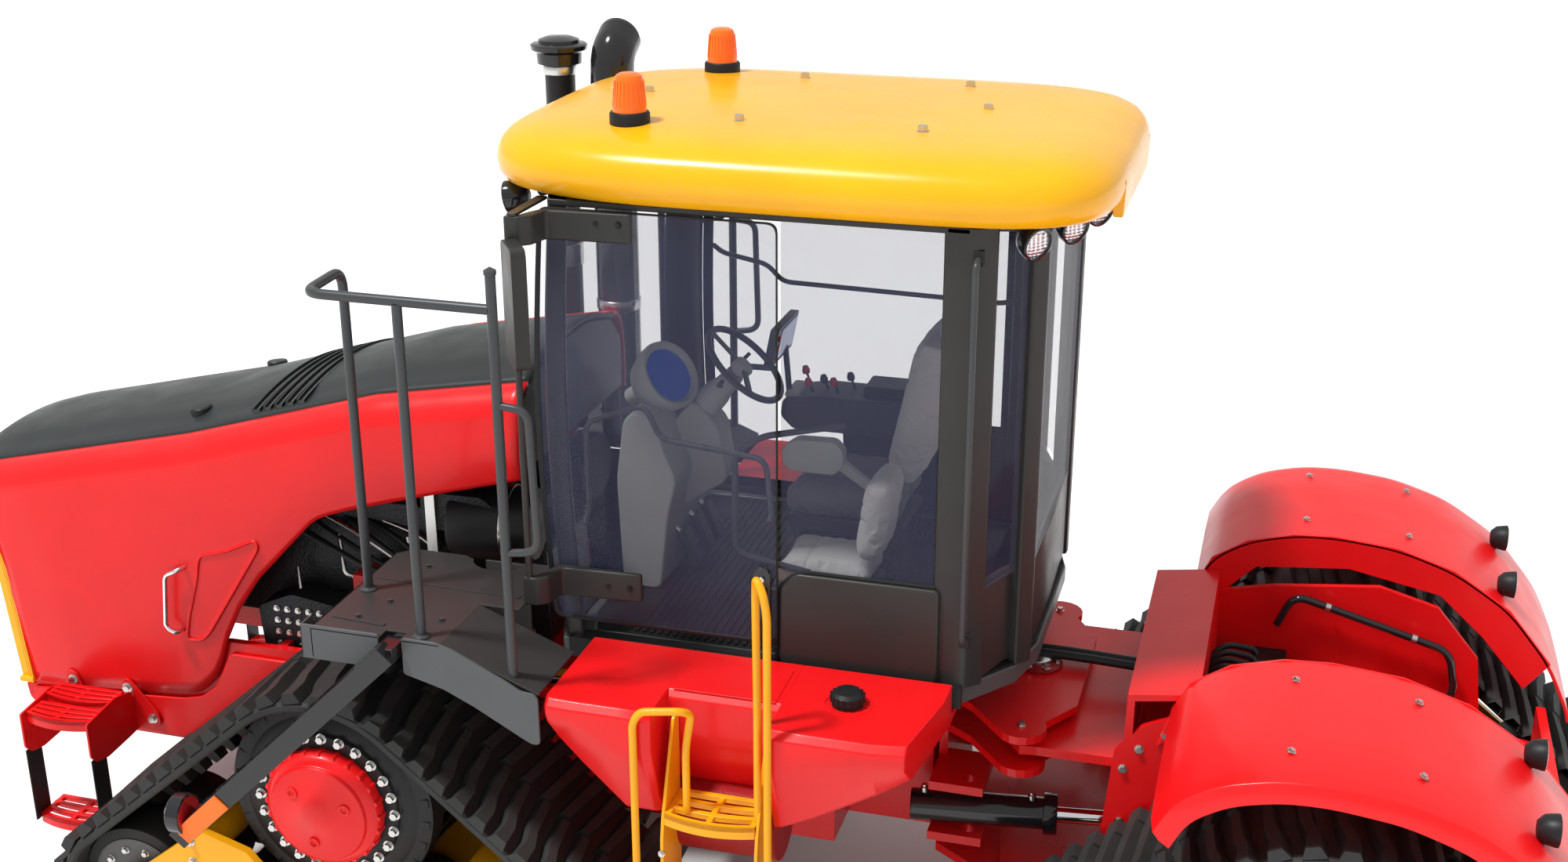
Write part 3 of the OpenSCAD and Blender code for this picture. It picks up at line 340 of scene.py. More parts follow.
class Workpiece:
    """One piece of the machine while its faces are being made."""

    def __init__(self, name: str, *finishes: Finish) -> None:
        """Start an empty piece with its finishes, the first of which is the main one."""
        self.name = name
        self.finishes = finishes
        self.mesh = bmesh.new()

    def _face(self, verts: Sequence[bmesh.types.BMVert], finish: int) -> None:
        """Add one face, unless it has no area."""
        if len(set(verts)) > 2:
            self.mesh.faces.new(verts).material_index = finish

    def loft(
        self, rows: Sequence[Sequence[Point]], finish: int = 0, closed: bool = True, looped: bool = False,
        caps: bool = True
    ) -> "Workpiece":
        """Add a skin over rows of points.

        Args:
            rows: Rows with the same number of points each.
            finish: Index of the finish.
            closed: Whether each row closes on itself.
            looped: Whether the last row joins the first.
            caps: Whether the first and the last row get a face.

        Returns:
            The piece itself.
        """
        made = [[self.mesh.verts.new(p) for p in row] for row in rows]
        count = len(made[0])
        pairs = list(zip(made, made[1:])) + ([(made[-1], made[0])] if looped else [])
        for low, high in pairs:
            for i in range(count if closed else count - 1):
                j = (i + 1) % count
                self._face([low[i], low[j], high[j], high[i]], finish)
        if caps and not looped:
            self._face(list(reversed(made[0])), finish)
            self._face(made[-1], finish)
        return self

    def prism(self, outline: Sequence[Flat], low: float, high: float, axis: str = "y", finish: int = 0) -> "Workpiece":
        """Add a flat outline pulled along an axis.

        Args:
            outline: (x, z) points for axis y, (x, y) for z and (y, z) for x.
            low: Where the prism starts.
            high: Where it ends.
            axis: Axis along which it is pulled.
            finish: Index of the finish.

        Returns:
            The piece itself.
        """
        return self.loft([[self._placed(p, at, axis) for p in outline] for at in (low, high)], finish)

    @staticmethod
    def _placed(p: Flat, at: float, axis: str) -> Point:
        """Return a flat point as a point in space."""
        return {"x": (at, p[0], p[1]), "y": (p[0], at, p[1]), "z": (p[0], p[1], at)}[axis]

    def frame(
        self, outer: Sequence[Flat], inner: Sequence[Flat], low: float, high: float, axis: str = "y", finish: int = 0
    ) -> "Workpiece":
        """Add a flat frame with a hole; both outlines have the same number of points."""
        rows = [
            [self._placed(p, at, axis) for p in outline]
            for outline, at in ((outer, low), (outer, high), (inner, high), (inner, low))
        ]
        return self.loft(rows, finish, looped=True)

    def block(self, x: Flat, y: Flat, z: Flat, finish: int = 0) -> "Workpiece":
        """Add a block between two places on each axis."""
        return self.prism([(x[0], z[0]), (x[1], z[0]), (x[1], z[1]), (x[0], z[1])], y[0], y[1], "y", finish)

    def turned(
        self, profile: Sequence[Flat], base: Point, direction: Point = UP, segments: int = 32, finish: int = 0
    ) -> "Workpiece":
        """Add a turned shape.

        Args:
            profile: (radius, height) points; it closes at both ends.
            base: Point where the height is zero.
            direction: Direction of the axis.
            segments: Faces round the axis.
            finish: Index of the finish.

        Returns:
            The piece itself.
        """
        turn = Vector(UP).rotation_difference(unit(direction)).to_matrix()
        rows = []
        for radius, height in profile:
            r = max(radius, 1e-4)
            ring = [Vector((r * math.cos(a), r * math.sin(a), height)) for a in around(segments)]
            rows.append([Vector(base) + turn @ p for p in ring])
        return self.loft(rows, finish)

    def pipe(
        self, corners: Sequence[Point], radius: float, bend: float = 0.06, segments: int = 12, finish: int = 0,
        looped: bool = False
    ) -> "Workpiece":
        """Add a round pipe along a route with rounded corners.

        Args:
            corners: Corner points of the route.
            radius: Radius of the pipe.
            bend: Length of each rounded corner, on each side.
            segments: Faces round the pipe.
            finish: Index of the finish.
            looped: Whether the route closes on itself.

        Returns:
            The piece itself.
        """
        route = [Vector(c) for c in corners] if looped else rounded_route(corners, bend)
        count = len(route)
        side = None
        rows = []
        for i, p in enumerate(route):
            before = route[i - 1] if (looped or i) else p
            after = route[(i + 1) % count] if (looped or i < count - 1) else p
            along = (after - before).normalized()
            if side is None:
                side = along.orthogonal().normalized()
            side = (side - along * side.dot(along)).normalized()
            across = along.cross(side)
            rows.append([p + (side * math.cos(a) + across * math.sin(a)) * radius for a in around(segments)])
        return self.loft(rows, finish, looped=looped)

    def bar(
        self, start: Point, end: Point, width: float, height: float, finish: int = 0, hint: Point = UP
    ) -> "Workpiece":
        """Add a straight bar with a rectangular section between two points."""
        along = unit(Vector(end) - Vector(start))
        side = along.cross(unit(hint)).normalized()
        top = side.cross(along)
        corners = [(-1, -1), (1, -1), (1, 1), (-1, 1)]
        rows = [[Vector(p) + side * a * width / 2 + top * b * height / 2 for a, b in corners] for p in (start, end)]
        return self.loft(rows, finish)

    def warp(self, change: Callable[[Vector], Vector]) -> "Workpiece":
        """Move every point of the piece by a rule."""
        for vert in self.mesh.verts:
            vert.co = change(vert.co)
        return self

    def cut(self, axis: int, places: Iterable[float]) -> "Workpiece":
        """Cut extra edge loops at places along an axis, so that the piece can be bent."""
        normal = [(1, 0, 0), LEFT, UP][axis]
        for place in places:
            geometry = [*self.mesh.verts, *self.mesh.edges, *self.mesh.faces]
            at = [0.0, 0.0, 0.0]
            at[axis] = place
            bmesh.ops.bisect_plane(self.mesh, geom=geometry, plane_co=at, plane_no=normal)
        return self

    def both_sides(self) -> "Workpiece":
        """Add the mirror image of everything on the machine's other side."""
        copy = bmesh.ops.duplicate(self.mesh, geom=[*self.mesh.verts, *self.mesh.edges, *self.mesh.faces])["geom"]
        for part in copy:
            if isinstance(part, bmesh.types.BMVert):
                part.co.y = -part.co.y
        return self

    def on_side(self, side: float) -> "Workpiece":
        """Mirror the piece to the right side if the side is negative."""
        return self.warp(lambda p: Vector((p.x, p.y * side, p.z)))

    def done(self, body: str, slot: str = "", replaces: Sequence[str] = (), **sizes: float) -> bpy.types.Object:
        """Make the object and hand it to its body.

        Args:
            body: Body that the piece rides on.
            slot: Not used.
            replaces: CAD nodes that it stands for.
            **sizes: What shaped() takes.

        Returns:
            The finished object.
        """
        return hand_over(self.shaped(**sizes), body, replaces)

    def released(self) -> bpy.types.Mesh:
        """Return the faces as a mesh and free the working copy."""
        mesh = bpy.data.meshes.new(self.name)
        self.mesh.to_mesh(mesh)
        self.mesh.free()
        return mesh

    def stamp(self) -> bpy.types.Object:
        """Return the piece as a bare shape for a tree to repeat."""
        bmesh.ops.recalc_face_normals(self.mesh, faces=self.mesh.faces)
        return linked(self.name, self.released())

    def shaped(self, bevel: float = 0.004, rounds: int = 2, sharp: float = 38.0, wall: float = 0.0) -> bpy.types.Object:
        """Make the object, riding on nothing yet.

        Args:
            bevel: Width of the edge bevel, or 0 for none.
            rounds: Segments of the bevel.
            sharp: Angle in degrees over which an edge is sharp.
            wall: Thickness that an open skin gets, or 0.

        Returns:
            The object.
        """
        bmesh.ops.recalc_face_normals(self.mesh, faces=self.mesh.faces)
        mesh = self.released()
        for finish in self.finishes:
            mesh.materials.append(finish.material())
        mesh.shade_smooth()
        mesh.set_sharp_from_angle(angle=math.radians(sharp))
        piece = linked(self.name, mesh)
        if wall:
            shell = piece.modifiers.new("wall", "SOLIDIFY")
            shell.thickness = wall
            shell.offset = -1.0
        if bevel:
            edge = piece.modifiers.new("edges", "BEVEL")
            edge.width = bevel
            edge.segments = rounds
            edge.limit_method = "ANGLE"
            edge.angle_limit = math.radians(sharp)
            edge.harden_normals = True
        return piece


def hand_over(piece: bpy.types.Object, body: str, replaces: Sequence[str] = ()) -> bpy.types.Object:
    """Let a finished piece ride on its body, and log it.

    Args:
        piece: Finished object.
        body: Body that it rides on.
        replaces: CAD nodes that it stands for.

    Returns:
        The same object.
    """
    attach(piece, body)
    if replaces:
        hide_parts(*replaces)
    LOG.info("%s: %d faces, rides on %s", piece.name, len(piece.data.polygons), body)
    return piece


# ---------------------------------------------------------------- repeated parts


class Recipe:
    """A Geometry Nodes tree built in this script, with named inputs for its sizes."""

    def __init__(self, name: str, inputs: dict[str, str]) -> None:
        """Start a tree.

        Args:
            name: Name of the tree.
            inputs: Socket type of each named input, after the source geometry.
        """
        self.tree = bpy.data.node_groups.new(name, "GeometryNodeTree")
        face = self.tree.interface
        face.new_socket(name="Geometry", in_out="INPUT", socket_type="NodeSocketGeometry")
        face.new_socket(name="Geometry", in_out="OUTPUT", socket_type="NodeSocketGeometry")
        self.keys = {
            label: face.new_socket(name=label, in_out="INPUT", socket_type=kind).identifier
            for label, kind in inputs.items()
        }
        self.start = self.tree.nodes.new("NodeGroupInput")
        self.end = self.tree.nodes.new("NodeGroupOutput")

    def node(self, kind: str, feeds: dict[object, object] | None = None, **settings: object) -> bpy.types.Node:
        """Add a node, with its settings, and feed its inputs.

        Args:
            kind: Node type.
            feeds: A value, or the socket to link from, for each input name or index.
            **settings: Properties of the node.

        Returns:
            The new node.
        """
        made = self.tree.nodes.new(kind)
        for key, value in settings.items():
            setattr(made, key, value)
        for key, value in (feeds or {}).items():
            if isinstance(value, bpy.types.NodeSocket):
                self.tree.links.new(value, made.inputs[key])
            else:
                made.inputs[key].default_value = value
        return made

    def given(self, label: str) -> bpy.types.NodeSocket:
        """Return the socket of a named input."""
        return self.start.outputs[label]

    def close(self, geometry: bpy.types.NodeSocket) -> None:
        """End the tree: real meshes with the given finish."""
        real = self.node("GeometryNodeRealizeInstances", {"Geometry": geometry})
        dressed = self.node(
            "GeometryNodeSetMaterial", {"Geometry": real.outputs["Geometry"], "Material": self.given("Finish")}
        )
        self.tree.links.new(dressed.outputs["Geometry"], self.end.inputs["Geometry"])

    def make(
        self, name: str, source: bpy.types.Mesh, values: dict[str, object], smooth: float = 30.0
    ) -> bpy.types.Object:
        """Run the tree on a source mesh.

        Args:
            name: Name of the finished piece.
            source: Mesh that the tree starts from.
            values: Value of each named input.
            smooth: Angle in degrees over which an edge is sharp.

        Returns:
            An object with the result as a plain mesh.
        """
        piece = linked(name, source)
        modifier = piece.modifiers.new("recipe", "NODES")
        modifier.node_group = self.tree
        for label, value in values.items():
            modifier[self.keys[label]] = value
        scene_state = bpy.context.evaluated_depsgraph_get()
        result = bpy.data.meshes.new_from_object(piece.evaluated_get(scene_state))
        piece.modifiers.remove(modifier)
        piece.data = result
        result.name = name
        result.shade_smooth()
        result.set_sharp_from_angle(angle=math.radians(smooth))
        return piece


@dataclass(frozen=True)
class Spot:
    """A place where something is fastened, and the way that it faces."""

    at: Point
    facing: Point


def spots_mesh(spots: Sequence[Spot]) -> bpy.types.Mesh:
    """Return a mesh of loose points that carry the way they face."""
    mesh = bpy.data.meshes.new("spots")
    mesh.from_pydata([s.at for s in spots], [], [])
    facing = mesh.attributes.new("facing", "FLOAT_VECTOR", "POINT")
    for i, spot in enumerate(spots):
        facing.data[i].vector = unit(spot.facing)
    return mesh


def bolt_recipe() -> Recipe:
    """Return the tree that sets a hex bolt with its washer on each spot."""
    recipe = Recipe(
        "hex_bolts",
        {"Head radius": "NodeSocketFloat", "Head height": "NodeSocketFloat", "Finish": "NodeSocketMaterial"}
    )
    radius, height = recipe.given("Head radius"), recipe.given("Head height")
    head = recipe.node("GeometryNodeMeshCylinder", {"Vertices": 6, "Radius": radius, "Depth": height})
    middle = recipe.node("ShaderNodeMath", {0: height, 1: 0.7}, operation="MULTIPLY")
    lift = recipe.node("ShaderNodeCombineXYZ", {"Z": middle.outputs[0]})
    raised = recipe.node("GeometryNodeTransform", {"Geometry": head.outputs["Mesh"], "Translation": lift.outputs[0]})
    wide = recipe.node("ShaderNodeMath", {0: radius, 1: 1.4}, operation="MULTIPLY")
    thin = recipe.node("ShaderNodeMath", {0: height, 1: 0.4}, operation="MULTIPLY")
    washer = recipe.node(
        "GeometryNodeMeshCylinder", {"Vertices": 14, "Radius": wide.outputs[0], "Depth": thin.outputs[0]}
    )
    both = recipe.node("GeometryNodeJoinGeometry")
    recipe.tree.links.new(raised.outputs["Geometry"], both.inputs["Geometry"])
    recipe.tree.links.new(washer.outputs["Mesh"], both.inputs["Geometry"])
    facing = recipe.node("GeometryNodeInputNamedAttribute", {"Name": "facing"}, data_type="FLOAT_VECTOR")
    turned = recipe.node("FunctionNodeAlignRotationToVector", {"Vector": facing.outputs["Attribute"]}, axis="Z")
    placed = recipe.node(
        "GeometryNodeInstanceOnPoints",
        {
            "Points": recipe.given("Geometry"), "Instance": both.outputs["Geometry"],
            "Rotation": turned.outputs["Rotation"]
        },
    )
    recipe.close(placed.outputs["Instances"])
    return recipe


def lug_recipe() -> Recipe:
    """Return the tree that sets lugs evenly along a closed path in the XZ plane."""
    recipe = Recipe(
        "track_lugs", {"Lug": "NodeSocketObject", "Lug count": "NodeSocketInt", "Finish": "NodeSocketMaterial"}
    )
    path = recipe.node("GeometryNodeMeshToCurve", {"Mesh": recipe.given("Geometry")})
    even = recipe.node(
        "GeometryNodeResampleCurve", {"Curve": path.outputs["Curve"], "Count": recipe.given("Lug count")}
    )
    shape = recipe.node("GeometryNodeObjectInfo", {"Object": recipe.given("Lug")}, transform_space="ORIGINAL")
    along = recipe.node("GeometryNodeInputTangent")
    parts = recipe.node("ShaderNodeSeparateXYZ", {"Vector": along.outputs["Tangent"]})
    down = recipe.node("ShaderNodeMath", {0: parts.outputs["Z"], 1: -1.0}, operation="MULTIPLY")
    angle = recipe.node("ShaderNodeMath", {0: down.outputs[0], 1: parts.outputs["X"]}, operation="ARCTAN2")
    euler = recipe.node("ShaderNodeCombineXYZ", {"Y": angle.outputs[0]})
    turned = recipe.node("FunctionNodeEulerToRotation", {"Euler": euler.outputs[0]})
    placed = recipe.node(
        "GeometryNodeInstanceOnPoints",
        {
            "Points": even.outputs["Curve"], "Instance": shape.outputs["Geometry"],
            "Rotation": turned.outputs["Rotation"]
        },
    )
    recipe.close(placed.outputs["Instances"])
    return recipe


def slat_recipe() -> Recipe:
    """Return the tree that sets equal slats in a straight row."""
    recipe = Recipe(
        "slats",
        {
            "Slat count": "NodeSocketInt",
            "First": "NodeSocketVector",
            "Step": "NodeSocketVector",
            "Slat size": "NodeSocketVector",
            "Lean": "NodeSocketVector",
            "Finish": "NodeSocketMaterial",
        },
    )
    row = recipe.node(
        "GeometryNodeMeshLine",
        {"Count": recipe.given("Slat count"), "Start Location": recipe.given("First"), "Offset": recipe.given("Step")},
    )
    slat = recipe.node("GeometryNodeMeshCube", {"Size": recipe.given("Slat size")})
    lean = recipe.node("FunctionNodeEulerToRotation", {"Euler": recipe.given("Lean")})
    placed = recipe.node(
        "GeometryNodeInstanceOnPoints",
        {"Points": row.outputs["Mesh"], "Instance": slat.outputs["Mesh"], "Rotation": lean.outputs["Rotation"]},
    )
    recipe.close(placed.outputs["Instances"])
    return recipe


@dataclass
class Workshop:
    """The trees that every sub-assembly uses for its repeated parts."""

    bolts: Recipe = field(default_factory=bolt_recipe)
    lugs: Recipe = field(default_factory=lug_recipe)
    slats: Recipe = field(default_factory=slat_recipe)

    def bolt_set(
        self, name: str, spots: Sequence[Spot], body: str, slot: str, radius: float = 0.014, height: float = 0.014,
        finish: Finish = STEEL,
    ) -> bpy.types.Object:
        """Set hex bolts on spots, as one piece that rides on a body."""
        values = {"Head radius": radius, "Head height": height, "Finish": finish.material()}
        return hand_over(self.bolts.make(name, spots_mesh(spots), values), body)

    def slat_row(
        self, name: str, count: int, first: Point, step: Point, size: Point, body: str, slot: str, finish: Finish,
        lean: Point = (0.0, 0.0, 0.0),
    ) -> bpy.types.Object:
        """Set a straight row of slats, as one piece that rides on a body."""
        values = {
            "Slat count": count, "First": first, "Step": step, "Slat size": size, "Lean": lean,
            "Finish": finish.material()
        }
        return hand_over(self.slats.make(name, bpy.data.meshes.new(name), values), body)


def mirrored(spots: Sequence[Spot]) -> list[Spot]:
    """Return spots together with their mirror images on the machine's other side."""
    other = [Spot((s.at[0], -s.at[1], s.at[2]), (s.facing[0], -s.facing[1], s.facing[2])) for s in spots]
    return [*spots, *other]


def ring_of_spots(centre: Point, radius: float, count: int, side: float) -> list[Spot]:
    """Return spots in a circle that face along Y, to the given side."""
    x, y, z = centre
    return [Spot((x + radius * math.cos(a), y, z + radius * math.sin(a)), (0, side, 0)) for a in around(count)]


# ---------------------------------------------------------------- track units


@dataclass
class TrackUnit:
    """One rubber track with its drive wheel, idlers, rollers and frame."""

    shop: Workshop
    end: str
    side_name: str
    axle_x: float
    axle_z: float = 0.954
    drive_r: float = 0.47
    idler_r: float = 0.27
    idler_reach: float = 1.0
    idler_z: float = 0.37
    inner_y: float = 0.738
    outer_y: float = 1.5
    carcass: float = 0.046
    belt_t: float = 0.1
    lug_count: int = 56
    wheel_bolts: int = 24
    drive_bars: int = 26

    @property
    def side(self) -> float:
        """Return +1 for a left unit and -1 for a right one."""
        return SIDES[self.side_name]

    @property
    def body(self) -> str:
        """Return the body that the unit rides on."""
        return f"{self.end}_{self.side_name}_track"

    def node(self, part: str) -> str:
        """Return the name of one of the unit's CAD nodes."""
        return f"{self.end}_{self.side_name}_{part}"

    def loop(self, grow: float, steps: int = 120) -> list[tuple[float, float, float, float]]:
        """Return (x, z, normal x, normal z) round the belt, forwards along its top."""
        wheels = [(0.0, self.axle_z, self.drive_r)]
        wheels += [(s * self.idler_reach, self.idler_z, self.idler_r) for s in (1, -1)]
        made = []
        for k in range(steps):
            angle = math.pi / 2 - 2 * math.pi * k / steps
            n = (math.cos(angle), math.sin(angle))
            x, z, r = max(wheels, key=lambda w: w[0] * n[0] + w[1] * n[1] + w[2])
            made.append((self.axle_x + x + n[0] * (r + grow), z + n[1] * (r + grow), *n))
        return made

    def build(self) -> None:
        """Make every piece of the unit."""
        self._belt()
        self._lugs()
        self._frame()
        self._drive_wheel()
        self._wheels()

    def _belt(self) -> None:
        """Make the belt's carcass, with rounded thick edges."""
        y0, y1, c = self.inner_y, self.outer_y - 0.002, 0.012
        section = [(y0 + c, 0.002), (y1 - c, 0.002), (y1, c), (y1, self.carcass - c), (y1 - c, self.carcass)]
        section += [(y0 + c, self.carcass), (y0, self.carcass - c), (y0, c)]
        rows = [[(x + nx * n, y, z + nz * n) for y, n in section] for x, z, nx, nz in self.loop(0.0)]
        belt = Workpiece(self.node("belt_carcass"), BELT_RUBBER).loft(rows, looped=True).on_side(self.side)
        belt.done(self.body, "belt_rubber", [self.node("belt")], bevel=0.0, sharp=28)

    def _lug(self, name: str, y0: float, y1: float, sweep: float) -> bpy.types.Object:
        """Return one lug around the origin, as the shape that the tree repeats."""
        lug = Workpiece(name, BELT_RUBBER)
        low, full = self.carcass - 0.004, self.belt_t - 0.01
        rows = []
        end_drop = 0.012 if y1 < y0 else 0.0
        sections = [(y0, 0.0, 0.86, 0.0), ((y0 + y1) / 2, sweep * 0.45, 1.0, 0.0)]
        sections += [(y1 - 0.1, sweep, 1.1, end_drop), (y1, sweep, 1.25, end_drop)]
        for y, shift, slim, drop in sections:
            foot, top, high = 0.036 * slim, 0.021 * slim, full - drop
            rows.append(
                [(shift - foot, y, low), (shift + foot, y, low), (shift + top, y, high), (shift - top, y, high)]
            )
        return lug.loft(rows).on_side(self.side).stamp()

    def _lugs(self) -> None:
        """Make the outer lugs in two staggered rows, and the guide lugs inside."""
        middle = (self.inner_y + self.outer_y) / 2
        whole = self.loop(0.0, 360)
        rows = {
            "outer_lugs": (self._lug("outer_lug", middle + 0.012, self.outer_y - 0.001, -0.05), 0),
            "inner_lugs": (self._lug("inner_lug", middle - 0.012, self.inner_y + 0.001, -0.05), 2),
        }
        guide = [
            [(-a, middle - b, n), (a, middle - b, n), (a, middle + b, n), (-a, middle + b, n)]
            for a, b, n in ((0.018, 0.028, -0.07), (0.03, 0.045, 0.004))
        ]
        rows["guide_lugs"] = (Workpiece("guide_lug", BELT_RUBBER).loft(guide).on_side(self.side).stamp(), 0)
        for label, (shape, shift) in rows.items():
            turned = whole[shift:] + whole[:shift]
            path = bpy.data.meshes.new("belt_path")
            count = len(turned)
            path.from_pydata([(x, 0, z) for x, z, _, _ in turned], [(i, (i + 1) % count) for i in range(count)], [])
            values = {"Lug": shape, "Lug count": self.lug_count, "Finish": BELT_RUBBER.material()}
            piece = self.shop.lugs.make(self.node(label), path, values, smooth=25)
            hand_over(piece, self.body)
            bpy.data.objects.remove(shape)

    def _frame(self) -> None:
        """Make the two side beams with their feet, and the cross tubes."""
        x, z = self.axle_x, self.idler_z
        cut_r = self.drive_r + 0.014
        arc = [math.radians(a) for a in range(212, 329, 8)]
        scoop = [(x + cut_r * math.cos(a), self.axle_z + cut_r * math.sin(a)) for a in arc]
        outline = [(x - 1.0, z + 0.07), (x - 0.62, 0.74), *scoop, (x + 0.62, 0.74), (x + 1.0, z + 0.07), (x + 1.05, z)]
        outline += [(x + 1.0, z - 0.07), (x + 0.76, 0.25), (x - 0.76, 0.25), (x - 1.0, z - 0.07), (x - 1.05, z)]
        beams = Workpiece(self.node("beams"), BEAM_YELLOW, STEEL)
        for y in (self.inner_y + 0.04, self.outer_y - 0.082):
            beams.prism(outline, y, y + 0.04)
        for s in (-1, 1):
            beams.turned([(0.07, 0), (0.07, 0.66)], (x + s * 0.62, self.inner_y + 0.05, 0.64), LEFT, 24)
            beams.turned([(0.055, 0), (0.055, 0.66)], (x + s * 1.0, self.inner_y + 0.05, z), LEFT, 24)
            beams.turned(
                [(0.09, 0), (0.09, 0.02), (0.05, 0.03), (0.05, 0.034)], (x + s, self.outer_y - 0.05, z), LEFT, 24
            )
        beams.block((x - 0.5, x + 0.5), (self.outer_y - 0.1, self.outer_y - 0.03), (0.4, 0.455))
        beams.on_side(self.side)
        beams.done(self.body, "yellow_paint", [self.node("undercarriage")], bevel=0.008, rounds=3)
        y = (self.outer_y - 0.042) * self.side
        spots = []
        for reach, heights in ((0.8, (0.33, 0.42)), (0.66, (0.58, 0.68))):
            spots += [Spot((x + dx, y, dz), (0, self.side, 0)) for dx in (-reach, reach) for dz in heights]
        for dx in (-self.idler_reach, self.idler_reach):
            spots += ring_of_spots((x + dx, y + 0.008 * self.side, z), 0.07, 6, self.side)
        self.shop.bolt_set(self.node("beam_bolts"), spots, self.body, "chrome", 0.015, 0.016)

    def _drive_wheel(self) -> None:
        """Make the drive wheel's rims, drive bars, dished disc and red hub."""
        x, z, r = self.axle_x, self.axle_z, self.drive_r
        near, far = self.outer_y - 0.12, self.inner_y + 0.12
        wheel = Workpiece(self.node("drive_wheel"), SOFT_BLACK)
        for y in (far, near - 0.12):
            rim = [(r - 0.06, 0), (r - 0.004, 0.008), (r - 0.004, 0.112), (r - 0.06, 0.12)]
            wheel.turned([(0.12, 0.03), *rim, (0.12, 0.09)], (x, y, z), LEFT, 64)
        disc = [(0.1, -0.05), (0.42, -0.05), (0.43, -0.03), (0.4, 0.0), (0.33, 0.012), (0.32, 0.03), (0.1, 0.03)]
        wheel.turned(disc, (x, near, z), LEFT, 64)
        wheel.turned([(0.115, 0), (0.2, 0.0), (0.2, 0.12), (0.115, 0.12)], (x, self.inner_y + 0.002, z), LEFT, 40)
        wheel.on_side(self.side).done(self.body, "yellow_paint", bevel=0.004)
        bars = Workpiece(self.node("drive_bars"), SOFT_BLACK)
        for k in range(self.drive_bars):
            a = 2 * math.pi * (k + 0.5) / self.drive_bars
            spoke = Vector((math.cos(a), 0, math.sin(a)))
            start, end = Vector((x, far, z)) + spoke * (r - 0.04), Vector((x, near, z)) + spoke * (r - 0.04)
            bars.bar(start, end, 0.04, 0.05, hint=tuple(spoke))
        bars.on_side(self.side).done(self.body, "yellow_paint", bevel=0.005)
        hub = Workpiece(self.node("hub"), RED_PANEL)
        dome = [
            (0.262, 0.0), (0.262, 0.05), (0.25, 0.07), (0.222, 0.084), (0.215, 0.1), (0.08, 0.108), (0.066, 0.118),
            (0.0, 0.119)
        ]
        hub.turned(dome, (x, near + 0.02, z), LEFT, 64)
        for a in (40, 160, 280):
            at = (x + 0.14 * math.cos(math.radians(a)), near + 0.12, z + 0.14 * math.sin(math.radians(a)))
            hub.turned([(0.026, 0.0), (0.026, 0.012), (0.014, 0.012), (0.014, 0.004)], at, LEFT, 16)
        for a in around(self.wheel_bolts):
            at = (x + 0.256 * math.cos(a), near + 0.02, z + 0.256 * math.sin(a))
            hub.turned([(0.014, 0), (0.014, 0.062)], at, LEFT, 10)
        hub.on_side(self.side).done(self.body, "red_paint", bevel=0.004)
        spots = ring_of_spots((x, (near + 0.03) * self.side, z), 0.312, self.wheel_bolts, self.side)
        self.shop.bolt_set(self.node("wheel_bolts"), spots, self.body, "chrome", 0.017, 0.02)

    def _wheels(self) -> None:
        """Make the idlers and the rollers, with rubber rims and dished discs."""
        wheels = Workpiece(self.node("idlers_and_rollers"), WHEEL_GREY, BELT_RUBBER)
        x, spots = self.axle_x, []
        for s in (-1, 1):
            places = [(s * self.idler_reach, self.idler_z, self.idler_r)]
            places += [(s * k, self.belt_t + 0.151, 0.15) for k in (0.18, 0.52)]
            for dx, z, r in places:
                for y in (self.inner_y + 0.11, self.outer_y - 0.31):
                    tyre = [
                        (r * 0.8, 0), (r - 0.006, 0.004), (r - 0.002, 0.012), (r - 0.002, 0.188), (r - 0.006, 0.196),
                        (r * 0.8, 0.2)
                    ]
                    wheels.turned([(0.05, 0.01), *tyre, (0.05, 0.19)], (x + dx, y, z), LEFT, 48, 1)
                dish = [
                    (0.03, 0.19), (r * 0.78, 0.19), (r * 0.8, 0.204), (r * 0.72, 0.206), (r * 0.5, 0.196),
                    (r * 0.34, 0.2)
                ]
                dish += [(r * 0.3, 0.23), (0.0, 0.232)]
                wheels.turned(dish, (x + dx, self.outer_y - 0.31, z), LEFT, 48, 0)
                ring_y = (self.outer_y - 0.31 + 0.2) * self.side
                spots += ring_of_spots((x + dx, ring_y, z), r * 0.6, 10 if r > 0.2 else 6, self.side)
        for dx in (-0.52, -0.18, 0.18, 0.52):
            wheels.turned([(0.04, 0), (0.04, 0.66)], (x + dx, self.inner_y + 0.05, self.belt_t + 0.151), LEFT, 20)
        wheels.on_side(self.side).done(self.body, "yellow_paint", bevel=0.0, sharp=30)
        self.shop.bolt_set(self.node("idler_bolts"), spots, self.body, "chrome", 0.013, 0.014)


# ---------------------------------------------------------------- hood


